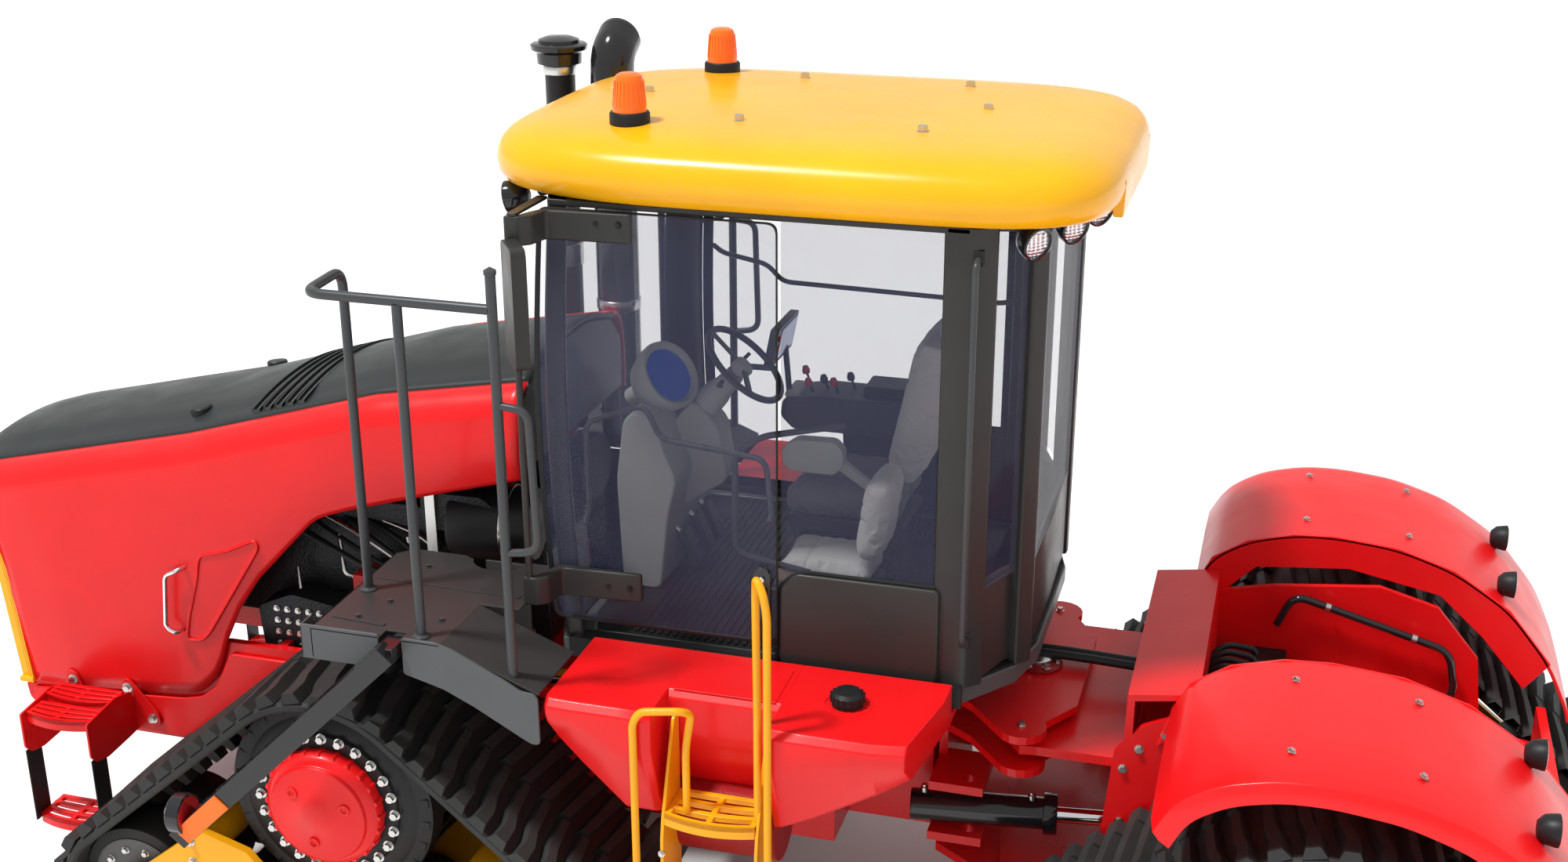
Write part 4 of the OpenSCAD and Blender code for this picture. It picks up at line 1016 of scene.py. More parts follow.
@dataclass
class Hood:
    """The long tilting hood: red sides, dark louvred top, yellow grille."""

    shop: Workshop
    rear_x: float = 0.95
    nose_x: float = 3.92
    half_width: float = 0.64
    seam_y: float = 0.5
    crown: float = 0.075
    stations: int = 64
    wrap: float = 0.075
    seam: tuple[Flat, ...] = ((0.95, 2.588), (1.672, 2.46), (2.645, 2.175), (3.734, 1.923), (3.92, 1.865))
    hem: tuple[Flat, ...] = (
        (0.95, 2.182), (1.342, 2.074), (1.769, 1.95), (1.9, 1.905), (1.97, 1.87), (2.081, 1.753), (2.283, 1.539),
        (2.4, 1.37), (2.488, 1.19), (2.53, 1.06), (2.58, 0.965), (2.66, 0.9), (2.8, 0.875), (3.68, 0.815),
    )
    nose: tuple[Flat, ...] = ((0.815, 3.68), (1.4, 3.735), (1.7, 3.81), (1.865, 3.905))

    def seam_z(self, x: float) -> float:
        """Return the height of the seam between the side and the top."""
        return between(self.seam, x)

    def top_point(self, x: float, y: float, lift: float = 0.0) -> Point:
        """Return a point on the crowned top."""
        t = 1 - (y / self.seam_y) ** 2
        return (x, y, self.seam_z(x) + self.crown * t + lift)

    def build(self) -> None:
        """Make every piece of the hood."""
        self._sides()
        self._top()
        self._louvres()
        self._grille()
        self._handles()

    def _sides(self) -> None:
        """Make the two side panels, rolled in at the shoulder and open at the wheel arch."""
        rows = []
        foot_x = self.nose[0][1] - self.wrap
        turn = [math.radians(a) for a in range(0, 91, 10)]
        for i in range(self.stations + 1):
            base_x = self.rear_x + (foot_x - self.rear_x) * i / self.stations
            hem_z = between(self.hem, base_x)
            share = (base_x - self.rear_x) / (foot_x - self.rear_x)
            row = []
            for k in range(17):
                v = k / 16
                shoulder_x = self.rear_x + (self.nose_x - 0.03 - self.wrap - self.rear_x) * share
                top = self.seam_z(shoulder_x) - 0.15
                z = hem_z + (top - hem_z) * v
                lean = between(self.nose, 0.815 + (top - 0.815) * v) - self.wrap - foot_x
                x = base_x + lean * share
                tuck = 0.012 * math.sin(math.pi * v)
                row.append((x, self.half_width - 0.014 + tuck - 0.05 * max(0.0, share - 0.9) * 4 * share, z))
            for a in turn[1:]:
                x0, y0, z0 = row[16]
                x = x0 + (shoulder_x - x0) * (1 - math.cos(a))
                y = self.seam_y + (y0 - self.seam_y) * math.cos(a)
                row.append((x, y, z0 + 0.15 * math.sin(a)))
            rows.append(row)
        sides = Workpiece("hood_sides", RED_PANEL).loft(rows, closed=False, caps=False)
        sides.both_sides().done("hood", "red_paint", ["hood_panels"], bevel=0.0, wall=0.018, sharp=50)
        outline = [
            (2.572, 1.628), (2.43, 1.668), (2.27, 1.745), (2.258, 1.705), (2.565, 1.235), (2.61, 1.19), (2.69, 1.185)
        ]
        outline += [(2.665, 1.3), (2.6, 1.5)]
        route = [(x, self.half_width - 0.003, z) for x, z in rounded_outline(outline, 0.03, 3)]
        pressing = Workpiece("hood_pressing", RED_PANEL).pipe(route, 0.009, segments=8, looped=True)
        pressing.both_sides().done("hood", "red_paint", bevel=0.0)

    def _top(self) -> None:
        """Make the dark crowned top with its raised middle."""
        rows = []
        for i in range(self.stations + 1):
            x = self.rear_x + (self.nose_x - 0.035 - self.rear_x) * i / self.stations
            row = []
            for k in range(29):
                y = -self.seam_y - 0.004 + (self.seam_y + 0.004) * 2 * k / 28
                ridge = 0.014 / (1 + math.exp((abs(y) - 0.36) * 60))
                lip = 0.008 if abs(y) < self.seam_y - 0.01 else -0.004
                row.append(self.top_point(x, max(-self.seam_y, min(self.seam_y, y)), ridge + lip))
            rows.append(row)
        top = Workpiece("hood_top_shell", HOOD_CHARCOAL).loft(rows, closed=False, caps=False)
        top.done("hood", "dark_plastic", ["hood_top"], bevel=0.0, wall=0.02, sharp=40)
        cap = Workpiece("hood_latch", HOOD_CHARCOAL)
        cap.turned(
            [(0.05, -0.02), (0.05, 0.016), (0.044, 0.022), (0.0, 0.024)], self.top_point(2.67, 0.34, 0.02),
            (0.1, 0.1, 1), 28
        )
        cap.both_sides().done("hood", "dark_plastic", bevel=0.0)
        back = Workpiece("hood_rear_panel", HOOD_CHARCOAL)
        outline = [
            (-0.61, 2.2), (0.61, 2.2), (0.61, 2.44), (0.49, 2.57), (0.2, 2.64), (-0.2, 2.64), (-0.49, 2.57),
            (-0.61, 2.44)
        ]
        back.prism(outline, self.rear_x + 0.004, self.rear_x + 0.03, "x").done("hood", "dark_plastic")

    def _louvres(self) -> None:
        """Make the row of air slots across the top."""
        slots = Workpiece("hood_louvres", GLOSS_BLACK, HOOD_CHARCOAL)
        for k in range(5):
            x = 2.07 + 0.058 * k
            for low, high, lift, finish in ((-0.014, 0.014, 0.024, 0), (0.014, 0.024, 0.033, 1)):
                rows = []
                for j in range(17):
                    y = -0.46 + 0.92 * j / 16
                    a, b = self.top_point(x + low, y, lift), self.top_point(x + high, y, lift)
                    rows.append([a, b, (b[0], b[1], b[2] - 0.02), (a[0], a[1], a[2] - 0.02)])
                slots.loft(rows, finish)
        slots.done("hood", "dark_plastic", bevel=0.0)

    def _grille(self) -> None:
        """Make the yellow nose frame with its upright slats and the dark screen behind."""
        z0, z1 = 0.83, 1.84
        nose = [(between(self.nose, z0 + (z1 - z0) * k / 12), z0 + (z1 - z0) * k / 12) for k in range(13)]
        for label, finish, slot, depth, half in (
            ("grille_frame", ROOF_YELLOW, "yellow_plastic", 0.05, 0.6),
            ("grille_screen", SOFT_BLACK, "dark_plastic", 0.02, 0.56)
        ):
            set_back = 0.005 if label == "grille_frame" else 0.05
            front = [(x - set_back, z) for x, z in nose]
            rear = [(x - set_back - depth, z) for x, z in reversed(nose)]
            part = Workpiece(label, finish)
            if label == "grille_screen":
                part.prism(front + rear, -half, half)
                part.done("hood", slot, bevel=0.003)
                continue
            for y in (-0.6, 0.54):
                part.prism(front + rear, y, y + 0.06)
            for low, high in ((0, 1), (11, 12)):
                band = front[low : high + 1]
                part.prism(band + [(x - depth, z) for x, z in reversed(band)], -0.545, 0.545)
            for k in range(-9, 10):
                slat = [(x + 0.003, z) for x, z in front[1:12]] + [(x - 0.03, z) for x, z in reversed(front[1:12])]
                part.prism(slat, k * 0.056 - 0.008, k * 0.056 + 0.008)
            for side in (1, -1):
                for k in range(4):
                    back = self.wrap - 0.018 * k
                    bar = [(x - back, z) for x, z in front] + [(x - back + 0.008, z) for x, z in reversed(front)]
                    low, high = sorted((side * 0.58, side * (self.half_width - 0.022 - 0.008 * k)))
                    part.prism(bar, low, high)
                lip = [
                    (front[0][0] - self.wrap, 0.812), (front[0][0], 0.812), (front[0][0], 0.836),
                    (front[0][0] - self.wrap, 0.836)
                ]
                part.prism(lip, *sorted((side * 0.56, side * (self.half_width - 0.016))))
            part.done("hood", slot, ["grille"], bevel=0.002)
            screen = Workpiece("grille_side_screens", SOFT_BLACK)
            plate = [(x - self.wrap - 0.004, z) for x, z in front] + [(x - 0.012, z) for x, z in reversed(front)]
            screen.prism(plate, 0.572, 0.582).both_sides().done("hood", "dark_plastic", bevel=0.0)
        brow = Workpiece("hood_brow", HOOD_CHARCOAL)
        brow.loft(
            [
                [(3.905 - 0.05 * (y / 0.5) ** 2, y, 1.862), (3.912 - 0.05 * (y / 0.5) ** 2, y, 1.9),
                 (3.85, y, 1.95 - 0.05 * (y / 0.5) ** 2), (3.8, y, 1.9)]
                for y in (-0.5 + 0.1 * k for k in range(11))
            ]
        ).done("hood", "dark_plastic", bevel=0.006)
        lamps = Workpiece("lamp_row", GLOSS_BLACK, LENS)
        for y in (-0.42, -0.18, 0.18, 0.42):
            lamps.turned([(0.085, 0), (0.085, 0.012), (0.075, 0.014)], (3.735, y, 1.66), (1, 0, 0.3), 32, 0)
            lamps.turned([(0.072, 0.01), (0.06, 0.022), (0.0, 0.028)], (3.735, y, 1.66), (1, 0, 0.3), 32, 1)
        lamps.done("hood", "black_plastic", bevel=0.0)

    def _handles(self) -> None:
        """Make the chrome grab handle on each side."""
        y0, y1 = self.half_width - 0.004, self.half_width + 0.042
        handle = Workpiece("hood_grab_handles", CHROME)
        corners = [
            (2.655, y0, 1.562), (2.67, y1, 1.56), (2.735, y1, 1.53), (2.765, y1, 1.26), (2.715, y1, 1.235),
            (2.705, y0, 1.235)
        ]
        handle.pipe(corners, 0.011, 0.03, 12).both_sides()
        handle.done("hood", "chrome", ["hood_handles"], bevel=0.0)


# ---------------------------------------------------------------- cab


@dataclass
class CabShell:
    """The cab's roof, pillars, glass, lower panels and outside fittings."""

    shop: Workshop
    half_width: float = 0.88
    front_x: float = 0.72
    rear_x: float = -1.25
    corner_x: float = -1.0
    tail_y: float = 0.62
    sill_z: float = 1.62
    head_z: float = 3.49
    roof_top_z: float = 3.76
    roof_front_x: float = 1.04
    roof_rear_x: float = -1.51
    roof_half_width: float = 0.95
    bow: float = 0.055
    door_rear_x: float = -0.27

    def bowed(self, p: Vector) -> Vector:
        """Bow the front of the cab outwards at mid height."""
        share = min(1.0, max(0.0, (p.z - self.sill_z) / (self.head_z - self.sill_z)))
        swell = math.sin(math.pi * share)
        forward = self.bow * swell * max(0.0, (p.x - 0.3) / (self.front_x - 0.3)) if p.x > 0.3 else 0.0
        return Vector((p.x + forward, p.y, p.z))

    def levels(self) -> list[float]:
        """Return the heights at which bowed pieces get an edge loop."""
        return [self.sill_z + (self.head_z - self.sill_z) * k / 12 for k in range(1, 12)]

    def build(self) -> None:
        """Make every piece of the shell."""
        self._roof()
        self._pillars()
        self._glass()
        self._lower_panels()
        self._door()
        self._rails_and_mirrors()
        self._lamps()
        self._beacons()

    def roof_ring(self, inset: float, z: float) -> list[Point]:
        """Return one closed ring of the roof's rounded plan, pulled in by an inset."""
        middle = (self.roof_front_x + self.roof_rear_x) / 2
        a = (self.roof_front_x - self.roof_rear_x) / 2 - inset
        b = self.roof_half_width - inset
        ring = []
        for k in range(96):
            t = 2 * math.pi * k / 96
            c, s = math.cos(t), math.sin(t)
            power = 0.42 if c > 0 else 0.36
            x = middle + a * math.copysign(abs(c) ** power, c)
            y = b * math.copysign(abs(s) ** 0.42, s)
            narrow = 1 - 0.1 * max(0.0, (x - 0.2) / (self.roof_front_x - 0.2)) ** 2
            ring.append((x, y * narrow, z))
        return ring

    def _roof(self) -> None:
        """Make the deep domed roof, its recessed lining and the bolts on top."""
        z = self.head_z
        steps = [
            (0.16, z + 0.05), (0.1, z + 0.004), (0.06, z + 0.0), (0.03, z + 0.012), (0.008, z + 0.045), (0.0, z + 0.09)
        ]
        steps += [(0.006, z + 0.13), (0.022, z + 0.165), (0.05, z + 0.195), (0.1, z + 0.222), (0.18, z + 0.242)]
        steps += [(0.32, z + 0.256), (0.5, z + 0.264), (0.7, z + 0.268), (0.9, z + 0.27)]
        roof = Workpiece("roof_shell", ROOF_YELLOW).loft([self.roof_ring(i, h) for i, h in steps])
        roof.done("front_frame", "yellow_plastic", ["cab_roof"], bevel=0.0, sharp=60)
        tail = Workpiece("roof_tail", ROOF_YELLOW)
        tail.prism(rounded_outline([(-1.46, 3.62), (-1.505, 3.6), (-1.5, 3.46), (-1.46, 3.46)], 0.01), -0.45, 0.45)
        tail.done("front_frame", "yellow_plastic", bevel=0.008, rounds=3)
        lining = Workpiece("roof_lining", CAB_GREY)
        lining.loft([self.roof_ring(0.13, z - 0.03), self.roof_ring(0.12, z + 0.02)])
        lining.done("front_frame", "dark_paint")
        places = [(0.008, 0.471), (0.007, -0.497), (-0.728, -0.493), (-0.894, -0.002), (-0.727, 0.478)]
        places += [(0.55, 0.0)]
        spots = [Spot((x, y, self.roof_top_z - 0.012), UP) for x, y in places]
        self.shop.bolt_set("roof_bolts", spots, "front_frame", "chrome", 0.02, 0.022)

    def _pillars(self) -> None:
        """Make the bowed corner pillars and the ring under the roof."""
        w, f, c = self.half_width, self.front_x, self.corner_x
        z0, z1 = self.sill_z - 0.01, self.head_z
        posts = Workpiece("cab_posts", CAB_GREY)
        front = rounded_outline(
            [(f, w - 0.16), (f - 0.06, w - 0.004), (f - 0.14, w - 0.004), (f - 0.12, w - 0.07), (f - 0.06, w - 0.13)],
            0.02
        )
        middle = rounded_outline(
            [(c + 0.1, w), (c - 0.03, w), (c - 0.1, w - 0.06), (c - 0.06, w - 0.1), (c + 0.1, w - 0.06)], 0.015
        )
        rear = rounded_outline([(-1.2, 0.62), (-1.25, 0.57), (-1.245, 0.52), (-1.2, 0.52), (-1.15, 0.6)], 0.01)
        for outline in (front, middle, rear):
            posts.prism(outline, z0, z1, "z")
        posts.both_sides().cut(2, self.levels()).warp(self.bowed)
        posts.done("front_frame", "dark_paint", ["cab_pillars"], bevel=0.004, sharp=45)
        head = Workpiece("cab_head_ring", CAB_GREY)
        plan = self._plan(0.0)
        head.frame(plan, self._plan(0.09), z1 - 0.026, z1, "z")
        head.done("front_frame", "dark_paint", bevel=0.006)
        # The sill takes the fascia's dark paint, lightened by a painted sheen.
        sill = Workpiece("cab_sill", FASCIA_GREY_PAINTED_SHEEN, CAB_GREY)
        sill.frame(self._plan(-0.012), self._plan(0.1), self.sill_z - 0.092, self.sill_z - 0.012, "z")
        sill.done("front_frame", "dark_paint", bevel=0.01, rounds=3)

    def _plan(self, inset: float) -> list[Flat]:
        """Return the cab's outline, pulled in by an inset."""
        w, f, r, t = self.half_width - inset, self.front_x - inset, self.rear_x + inset, self.tail_y - inset * 0.5
        half = [(f, w - 0.16), (f - 0.06, w), (self.corner_x, w), (r + 0.06, t), (r, 0.4)]
        return half + [(x, -y) for x, y in reversed(half)]

    def _glass(self) -> None:
        """Make the windscreen, the fixed side glass and the rear glass, with black borders."""
        w, f, c, t = self.half_width, self.front_x, self.corner_x, 0.008
        z0, z1, panel = self.sill_z + 0.004, self.head_z - 0.027, 2.03
        glass = Workpiece("cab_glass", TINTED)
        glass.prism(
            [
                (f - 0.03, -w + 0.14), (f - 0.005, 0), (f - 0.03, w - 0.14), (f - 0.04, w - 0.14), (f - 0.016, 0),
                (f - 0.04, -w + 0.14)
            ],
            z0, z1, "z"
        )
        right = [
            (f - 0.135, z0), (f - 0.135, z1), (c + 0.1, z1), (c + 0.1, panel), (-0.34, panel), (-0.28, panel - 0.06),
            (-0.26, z0)
        ]
        glass.prism(rounded_outline(right, 0.02), -w + 0.004, -w + 0.004 + t)
        glass.block((c + 0.1, self.door_rear_x - 0.008), (w - 0.004 - t, w - 0.004), (panel, z1))
        glass.block((-1.24, -1.24 + t), (-0.52, 0.52), (panel, z1))
        corner = [(c - 0.09, w - 0.075), (-1.175, 0.615), (-1.18, 0.62), (c - 0.095, w - 0.07)]
        glass.prism(corner, panel, z1, "z").prism([(x, -y) for x, y in corner], panel, z1, "z")
        glass.cut(2, self.levels()).warp(self.bowed)
        glass.done("front_frame", "tinted_glass", ["cab_windows"], bevel=0.0)
        border = Workpiece("glass_borders", SOFT_BLACK)
        inner = [
            (x, z)
            for x, z in (
                (f - 0.18, z0 + 0.05), (f - 0.18, z1 - 0.05), (c + 0.14, z1 - 0.05), (c + 0.14, panel + 0.04),
                (-0.33, panel + 0.04), (-0.24, panel - 0.04), (-0.22, z0 + 0.05)
            )
        ]
        border.frame(right, inner, -w + 0.001, -w + 0.004)
        border.cut(2, self.levels()).warp(self.bowed)
        border.done("front_frame", "black_plastic", bevel=0.0)

    def _lower_panels(self) -> None:
        """Make the dark panels under the rear side and rear windows."""
        w, c, z0, z1 = self.half_width, self.corner_x, self.sill_z, 2.03
        panels = Workpiece("cab_skirts", CAB_GREY)
        side = rounded_outline([(c + 0.07, z0), (c + 0.07, z1), (-0.34, z1), (-0.28, z1 - 0.07), (-0.275, z0)], 0.025)
        panels.prism(side, w - 0.03, w + 0.018)
        panels.prism(side, -w - 0.018, -w + 0.03)
        bulge = [(c - 0.085, w - 0.07), (-1.15, 0.63), (-1.235, 0.52), (-1.245, 0.0)]
        outer = bulge + [(x, -y) for x, y in reversed(bulge[:-1])]
        inner = [(x + 0.035, y * 0.95) for x, y in reversed(outer)]
        panels.prism(outer + inner, z0, z1, "z")
        panels.done("front_frame", "dark_plastic", ["cab_lower_panels"], bevel=0.012, rounds=3)
        seals = Workpiece("cab_seals", SEAL_RUBBER)
        for y in (w - 0.002, -w + 0.002):
            seals.pipe(
                [(c + 0.09, y, z1 + 0.006), (-0.35, y, z1 + 0.006), (-0.268, y, z1 - 0.07), (-0.262, y, z0 + 0.01)],
                0.008, 0.06, 8
            )
        seals.done("front_frame", "black_plastic", bevel=0.0)

    def _door(self) -> None:
        """Make the glazed left door with its border, arms, latch and inner tube."""
        w, x0, x1 = self.half_width + 0.006, self.door_rear_x, self.front_x - 0.026
        z0, z1 = 1.702, self.head_z - 0.028
        outer = [(x0, z0), (x1, z0), (x1, z1), (x0, z1)]
        edge = rounded_outline(outer, 0.042, 5)
        hole = rounded_outline(
            [(x0 + 0.007, z0 + 0.016), (x1 - 0.02, z0 + 0.016), (x1 - 0.02, z1 - 0.008), (x0 + 0.007, z1 - 0.008)],
            0.04, 5
        )
        frame_piece = Workpiece("door_border", SOFT_BLACK).frame(edge, hole, w, w + 0.012)
        frame_piece.cut(2, self.levels()).warp(self.bowed)
        frame_piece.done("left_door", "black_plastic", ["door_frame"], bevel=0.004)
        pane = Workpiece("door_pane", TINTED).prism(hole, w + 0.004, w + 0.012)
        pane.cut(2, self.levels()).warp(self.bowed).done("left_door", "tinted_glass", ["door_glass"], bevel=0.0)
        arms = Workpiece("door_hinge_arms", CAB_GREY, STEEL)
        for low, high in ((1.83, 1.955), (3.345, 3.462)):
            plan = [
                (0.3, w + 0.02), (0.66, w + 0.02), (0.7, w + 0.1), (0.715, 1.035), (0.762, 1.05), (0.762, 1.075),
                (0.7, 1.075), (0.66, 1.04)
            ]
            plan += [(0.64, w + 0.06), (0.3, w + 0.045)]
            arms.prism(rounded_outline(plan, 0.014, 3), low, high, "z")
        arms.done("left_door", "black_plastic", ["door_arms"], bevel=0.022, rounds=4)
        latch = Workpiece("door_latch", GLOSS_BLACK, STEEL, RAIL_GREY)
        body = rounded_outline(
            [(-0.243, 1.72), (-0.177, 1.72), (-0.172, 2.02), (-0.19, 2.05), (-0.23, 2.05), (-0.247, 2.02)], 0.012
        )
        latch.prism(body, w + 0.016, w + 0.034)
        latch.prism(
            rounded_outline([(-0.228, 1.76), (-0.192, 1.76), (-0.188, 1.96), (-0.232, 1.96)], 0.01), w + 0.034,
            w + 0.052
        )
        latch.turned([(0.014, 0), (0.014, 0.012), (0.0, 0.014)], (-0.21, w + 0.034, 2.0), LEFT, 20, 1)
        inner_y = w - 0.06
        route = [
            (0.56, w - 0.006, 2.13), (0.56, inner_y, 2.19), (0.56, inner_y, 2.56), (0.3, inner_y, 2.66),
            (0.24, inner_y, 2.52)
        ]
        route += [(-0.2, inner_y, 2.48), (-0.225, inner_y, 2.25), (-0.23, w - 0.006, 2.23)]
        latch.pipe(route, 0.012, 0.05, 12, 2)
        latch.block((-0.24, -0.18), (w + 0.011, w + 0.017), (1.71, 2.04))
        latch.done("left_door", "rail_black", ["door_handles"], bevel=0.004)
        spots = [Spot((x, w + 0.046, z), LEFT) for x in (0.35, 0.44) for z in (1.892, 3.42)]
        self.shop.bolt_set("door_arm_bolts", spots, "left_door", "chrome", 0.011, 0.008, SOFT_BLACK)

    def _rails_and_mirrors(self) -> None:
        """Make the mirrors on their poles, the long grab rails and the right window's bar."""
        x, y = 0.735, 1.06
        mirrors = Workpiece("mirror_set", CAB_GREY, MIRROR)
        mirrors.turned([(0.0138, 0), (0.0138, 1.64)], (x, y, 1.832), UP, 16)
        for z in (1.835, 3.461):
            plan = rounded_outline(
                [(x - 0.032, 0.77), (x + 0.013, 0.77), (x + 0.013, y + 0.014), (x - 0.025, y + 0.014)], 0.01
            )
            mirrors.prism(plan, z, z + 0.012, "z")
        turn = Matrix.Rotation(math.radians(35), 3, "Z")
        foot = Vector((x - 0.03, y + 0.022, 2.9))
        shell = rounded_outline([(-0.03, 0.0), (0.17, 0.0), (0.17, 0.48), (-0.03, 0.48)], 0.035, 5)
        glass = rounded_outline([(-0.015, 0.02), (0.155, 0.02), (0.155, 0.46), (-0.015, 0.46)], 0.025, 5)
        for outline, low, high, finish in ((shell, 0.0, 0.058, 0), (glass, -0.004, 0.002, 1)):
            rows = [[foot + turn @ Vector((d, a, b)) for a, b in outline] for d in (low, high)]
            mirrors.loft(rows, finish)
        mirrors.pipe([foot + Vector((0.03, -0.022, 0.1)), foot + Vector((0.02, 0.03, 0.2))], 0.012, 0.0)
        mirrors.both_sides().done("front_frame", "black_plastic", ["mirrors"], bevel=0.006, rounds=3)
        rails = Workpiece("long_grab_rails", RAIL_GREY, SOFT_BLACK)
        w = self.half_width
        rails.pipe(
            [(-1.03, w - 0.005, 1.82), (-1.03, w + 0.052, 1.84), (-1.03, w + 0.05, 3.36), (-1.03, w - 0.01, 3.38)],
            0.0135, 0.03
        )
        rails.block(
            (-1.05, -1.01), (w - 0.03, w + 0.002), (1.79, 1.85), 1
        ).block((-1.05, -1.01), (w - 0.03, w + 0.002), (3.35, 3.41), 1)
        rails.both_sides().done("front_frame", "rail_black", ["cab_grab_rails"], bevel=0.003)
        bar = Workpiece("window_bar", RAIL_GREY)
        route = [
            (0.56, -w + 0.012, 2.86), (0.5, -w + 0.06, 2.84), (0.28, -w + 0.06, 2.8), (0.2, -w + 0.06, 2.72),
            (-0.85, -w + 0.06, 2.7), (-0.89, -w + 0.012, 2.7)
        ]
        bar.pipe(route, 0.012, 0.04).done("front_frame", "rail_black", bevel=0.0)

    def _lamps(self) -> None:
        """Make the round work lamps under the roof's ends."""
        lamps = Workpiece("round_work_lamps", GLOSS_BLACK, LENS)
        places = [((-1.2, 0.74, 3.425), -1.0), ((-1.3, 0.46, 3.425), -1.0), ((-1.36, 0.16, 3.425), -1.0)]
        places += [((0.9, 0.62, 3.425), 1.0), ((0.9, 0.3, 3.425), 1.0)]
        for (x, y, z), way in places:
            aim = (-0.75, 0.62, -0.2) if way < 0 else (way, 0.1, -0.2)
            bowl = [
                (0.0, -0.05), (0.028, -0.048), (0.05, -0.03), (0.064, 0.0), (0.068, 0.03), (0.068, 0.042),
                (0.06, 0.045), (0.056, 0.034)
            ]
            lamps.turned(bowl, (x, y, z), aim, 36, 0)
            lamps.turned([(0.058, 0.034), (0.045, 0.041), (0.02, 0.045), (0.0, 0.046)], (x, y, z), aim, 36, 1)
            lamps.pipe([(x, y, z + 0.02), (x + 0.02 * -way, y, z + 0.075)], 0.014, 0.0, 10, 0)
        lamps.both_sides().done("front_frame", "black_plastic", ["work_lamps"], bevel=0.0, sharp=50)

    def _beacons(self) -> None:
        """Make the two amber beacons on their black bases."""
        z = self.roof_top_z
        beacons = Workpiece("amber_beacons", AMBER, SOFT_BLACK)
        at = (0.418, 0.593, z)
        beacons.turned([(0.08, -0.02), (0.08, 0.022), (0.074, 0.03), (0.05, 0.031)], at, UP, 40, 1)
        profile = [
            (0.05, 0.028), (0.068, 0.03), (0.067, 0.045), (0.056, 0.155), (0.05, 0.17), (0.036, 0.178), (0.0, 0.179)
        ]
        beacons.turned(profile, at, UP, 48, 0)
        beacons.both_sides().done("front_frame", "lamp_orange", ["beacons"], bevel=0.0)
        ribs = Workpiece("beacon_ribs", AMBER)
        base = Vector(at)
        for a in around(24):
            spoke = Vector((math.cos(a), math.sin(a), 0))
            ribs.bar(
                base + spoke * 0.0655 + Vector((0, 0, 0.05)), base + spoke * 0.0575 + Vector((0, 0, 0.15)), 0.004,
                0.004, hint=tuple(spoke)
            )
        ribs.both_sides().done("front_frame", "lamp_orange", bevel=0.0)


# ---------------------------------------------------------------- cab interior


@dataclass
class Cushion:
    """One seat cushion: a rounded block that is swelled by a short cloth run."""

    name: str
    size: Point
    corner: Point
    lean: float = 0.0
    voxel: float = 0.006
    travel: float = 0.024
    fill: float = 0.75
    finish: Finish = SEAT_CLOTH

    def build(self, replaces: Sequence[str] = ()) -> bpy.types.Object:
        """Make the cushion and hand it to the front frame.

        Args:
            replaces: CAD nodes that it stands for.

        Returns:
            The cushion's object.
        """
        block = bmesh.new()
        bmesh.ops.create_cube(block, size=1.0)
        bmesh.ops.subdivide_edges(block, edges=block.edges, cuts=9, use_grid_fill=True)
        half = Vector(self.size) * 0.5
        radius = min(half) * 0.62
        for vert in block.verts:
            p = Vector((vert.co.x * self.size[0], vert.co.y * self.size[1], vert.co.z * self.size[2]))
            core = Vector(max(-h + radius, min(h - radius, c)) for c, h in zip(p, half))
            out = p - core
            vert.co = core + (out.normalized() * radius if out.length > 1e-6 else out)
        mesh = bpy.data.meshes.new(self.name)
        block.to_mesh(mesh)
        block.free()
        piece = linked(self.name, mesh)
        self._swell(piece)
        self._place(piece)
        piece.data.materials.clear()
        piece.data.materials.append(self.finish.material())
        for face in piece.data.polygons:
            face.use_smooth = True
        smooth = piece.modifiers.new("smooth", "SUBSURF")
        smooth.levels = smooth.render_levels = 1
        return hand_over(piece, "front_frame", replaces)

    def _swell(self, piece: bpy.types.Object) -> None:
        """Remesh the block evenly and swell it with a short cloth simulation."""
        remesh = piece.modifiers.new("even", "REMESH")
        remesh.mode = "VOXEL"
        remesh.voxel_size = self.voxel
        self._apply(piece)
        before = [v.co.copy() for v in piece.data.vertices]
        cloth = piece.modifiers.new("cloth", "CLOTH")
        cloth.settings.use_pressure = True
        cloth.settings.uniform_pressure_force = 4.0
        cloth.settings.effector_weights.gravity = 0.0
        scene = bpy.context.scene
        for step in range(1, 21):
            scene.frame_set(step)
        self._apply(piece)
        for vert, rest in zip(piece.data.vertices, before):
            move = vert.co - rest
            if move.length > self.travel:
                vert.co = rest + move.normalized() * self.travel
        scene.frame_set(1)

    def _apply(self, piece: bpy.types.Object) -> None:
        """Turn the piece with its modifiers into a plain mesh."""
        state = bpy.context.evaluated_depsgraph_get()
        mesh = bpy.data.meshes.new_from_object(piece.evaluated_get(state))
        piece.modifiers.clear()
        piece.data = mesh

    def _place(self, piece: bpy.types.Object) -> None:
        """Sink the sewn channels and move the mesh to its place, leaning back."""
        long_axis = 2 if self.size[2] > self.size[0] else 0
        face_axis = 0 if long_axis == 2 else 2
        half = [s / 2 for s in self.size]
        lean = Matrix.Rotation(math.radians(-self.lean), 3, "Y")
        for vert in piece.data.vertices:
            side = vert.co[1] / half[1]
            channel = math.exp(-((abs(side) - 0.58) / 0.035) ** 2) + math.exp(
                -((vert.co[long_axis] / half[long_axis] - 0.35) / 0.03) ** 2
            )
            vert.co[face_axis] *= 1 - 0.09 * min(1.0, channel)
            local = lean @ (vert.co + Vector(half))
            vert.co = Vector(self.corner) + local


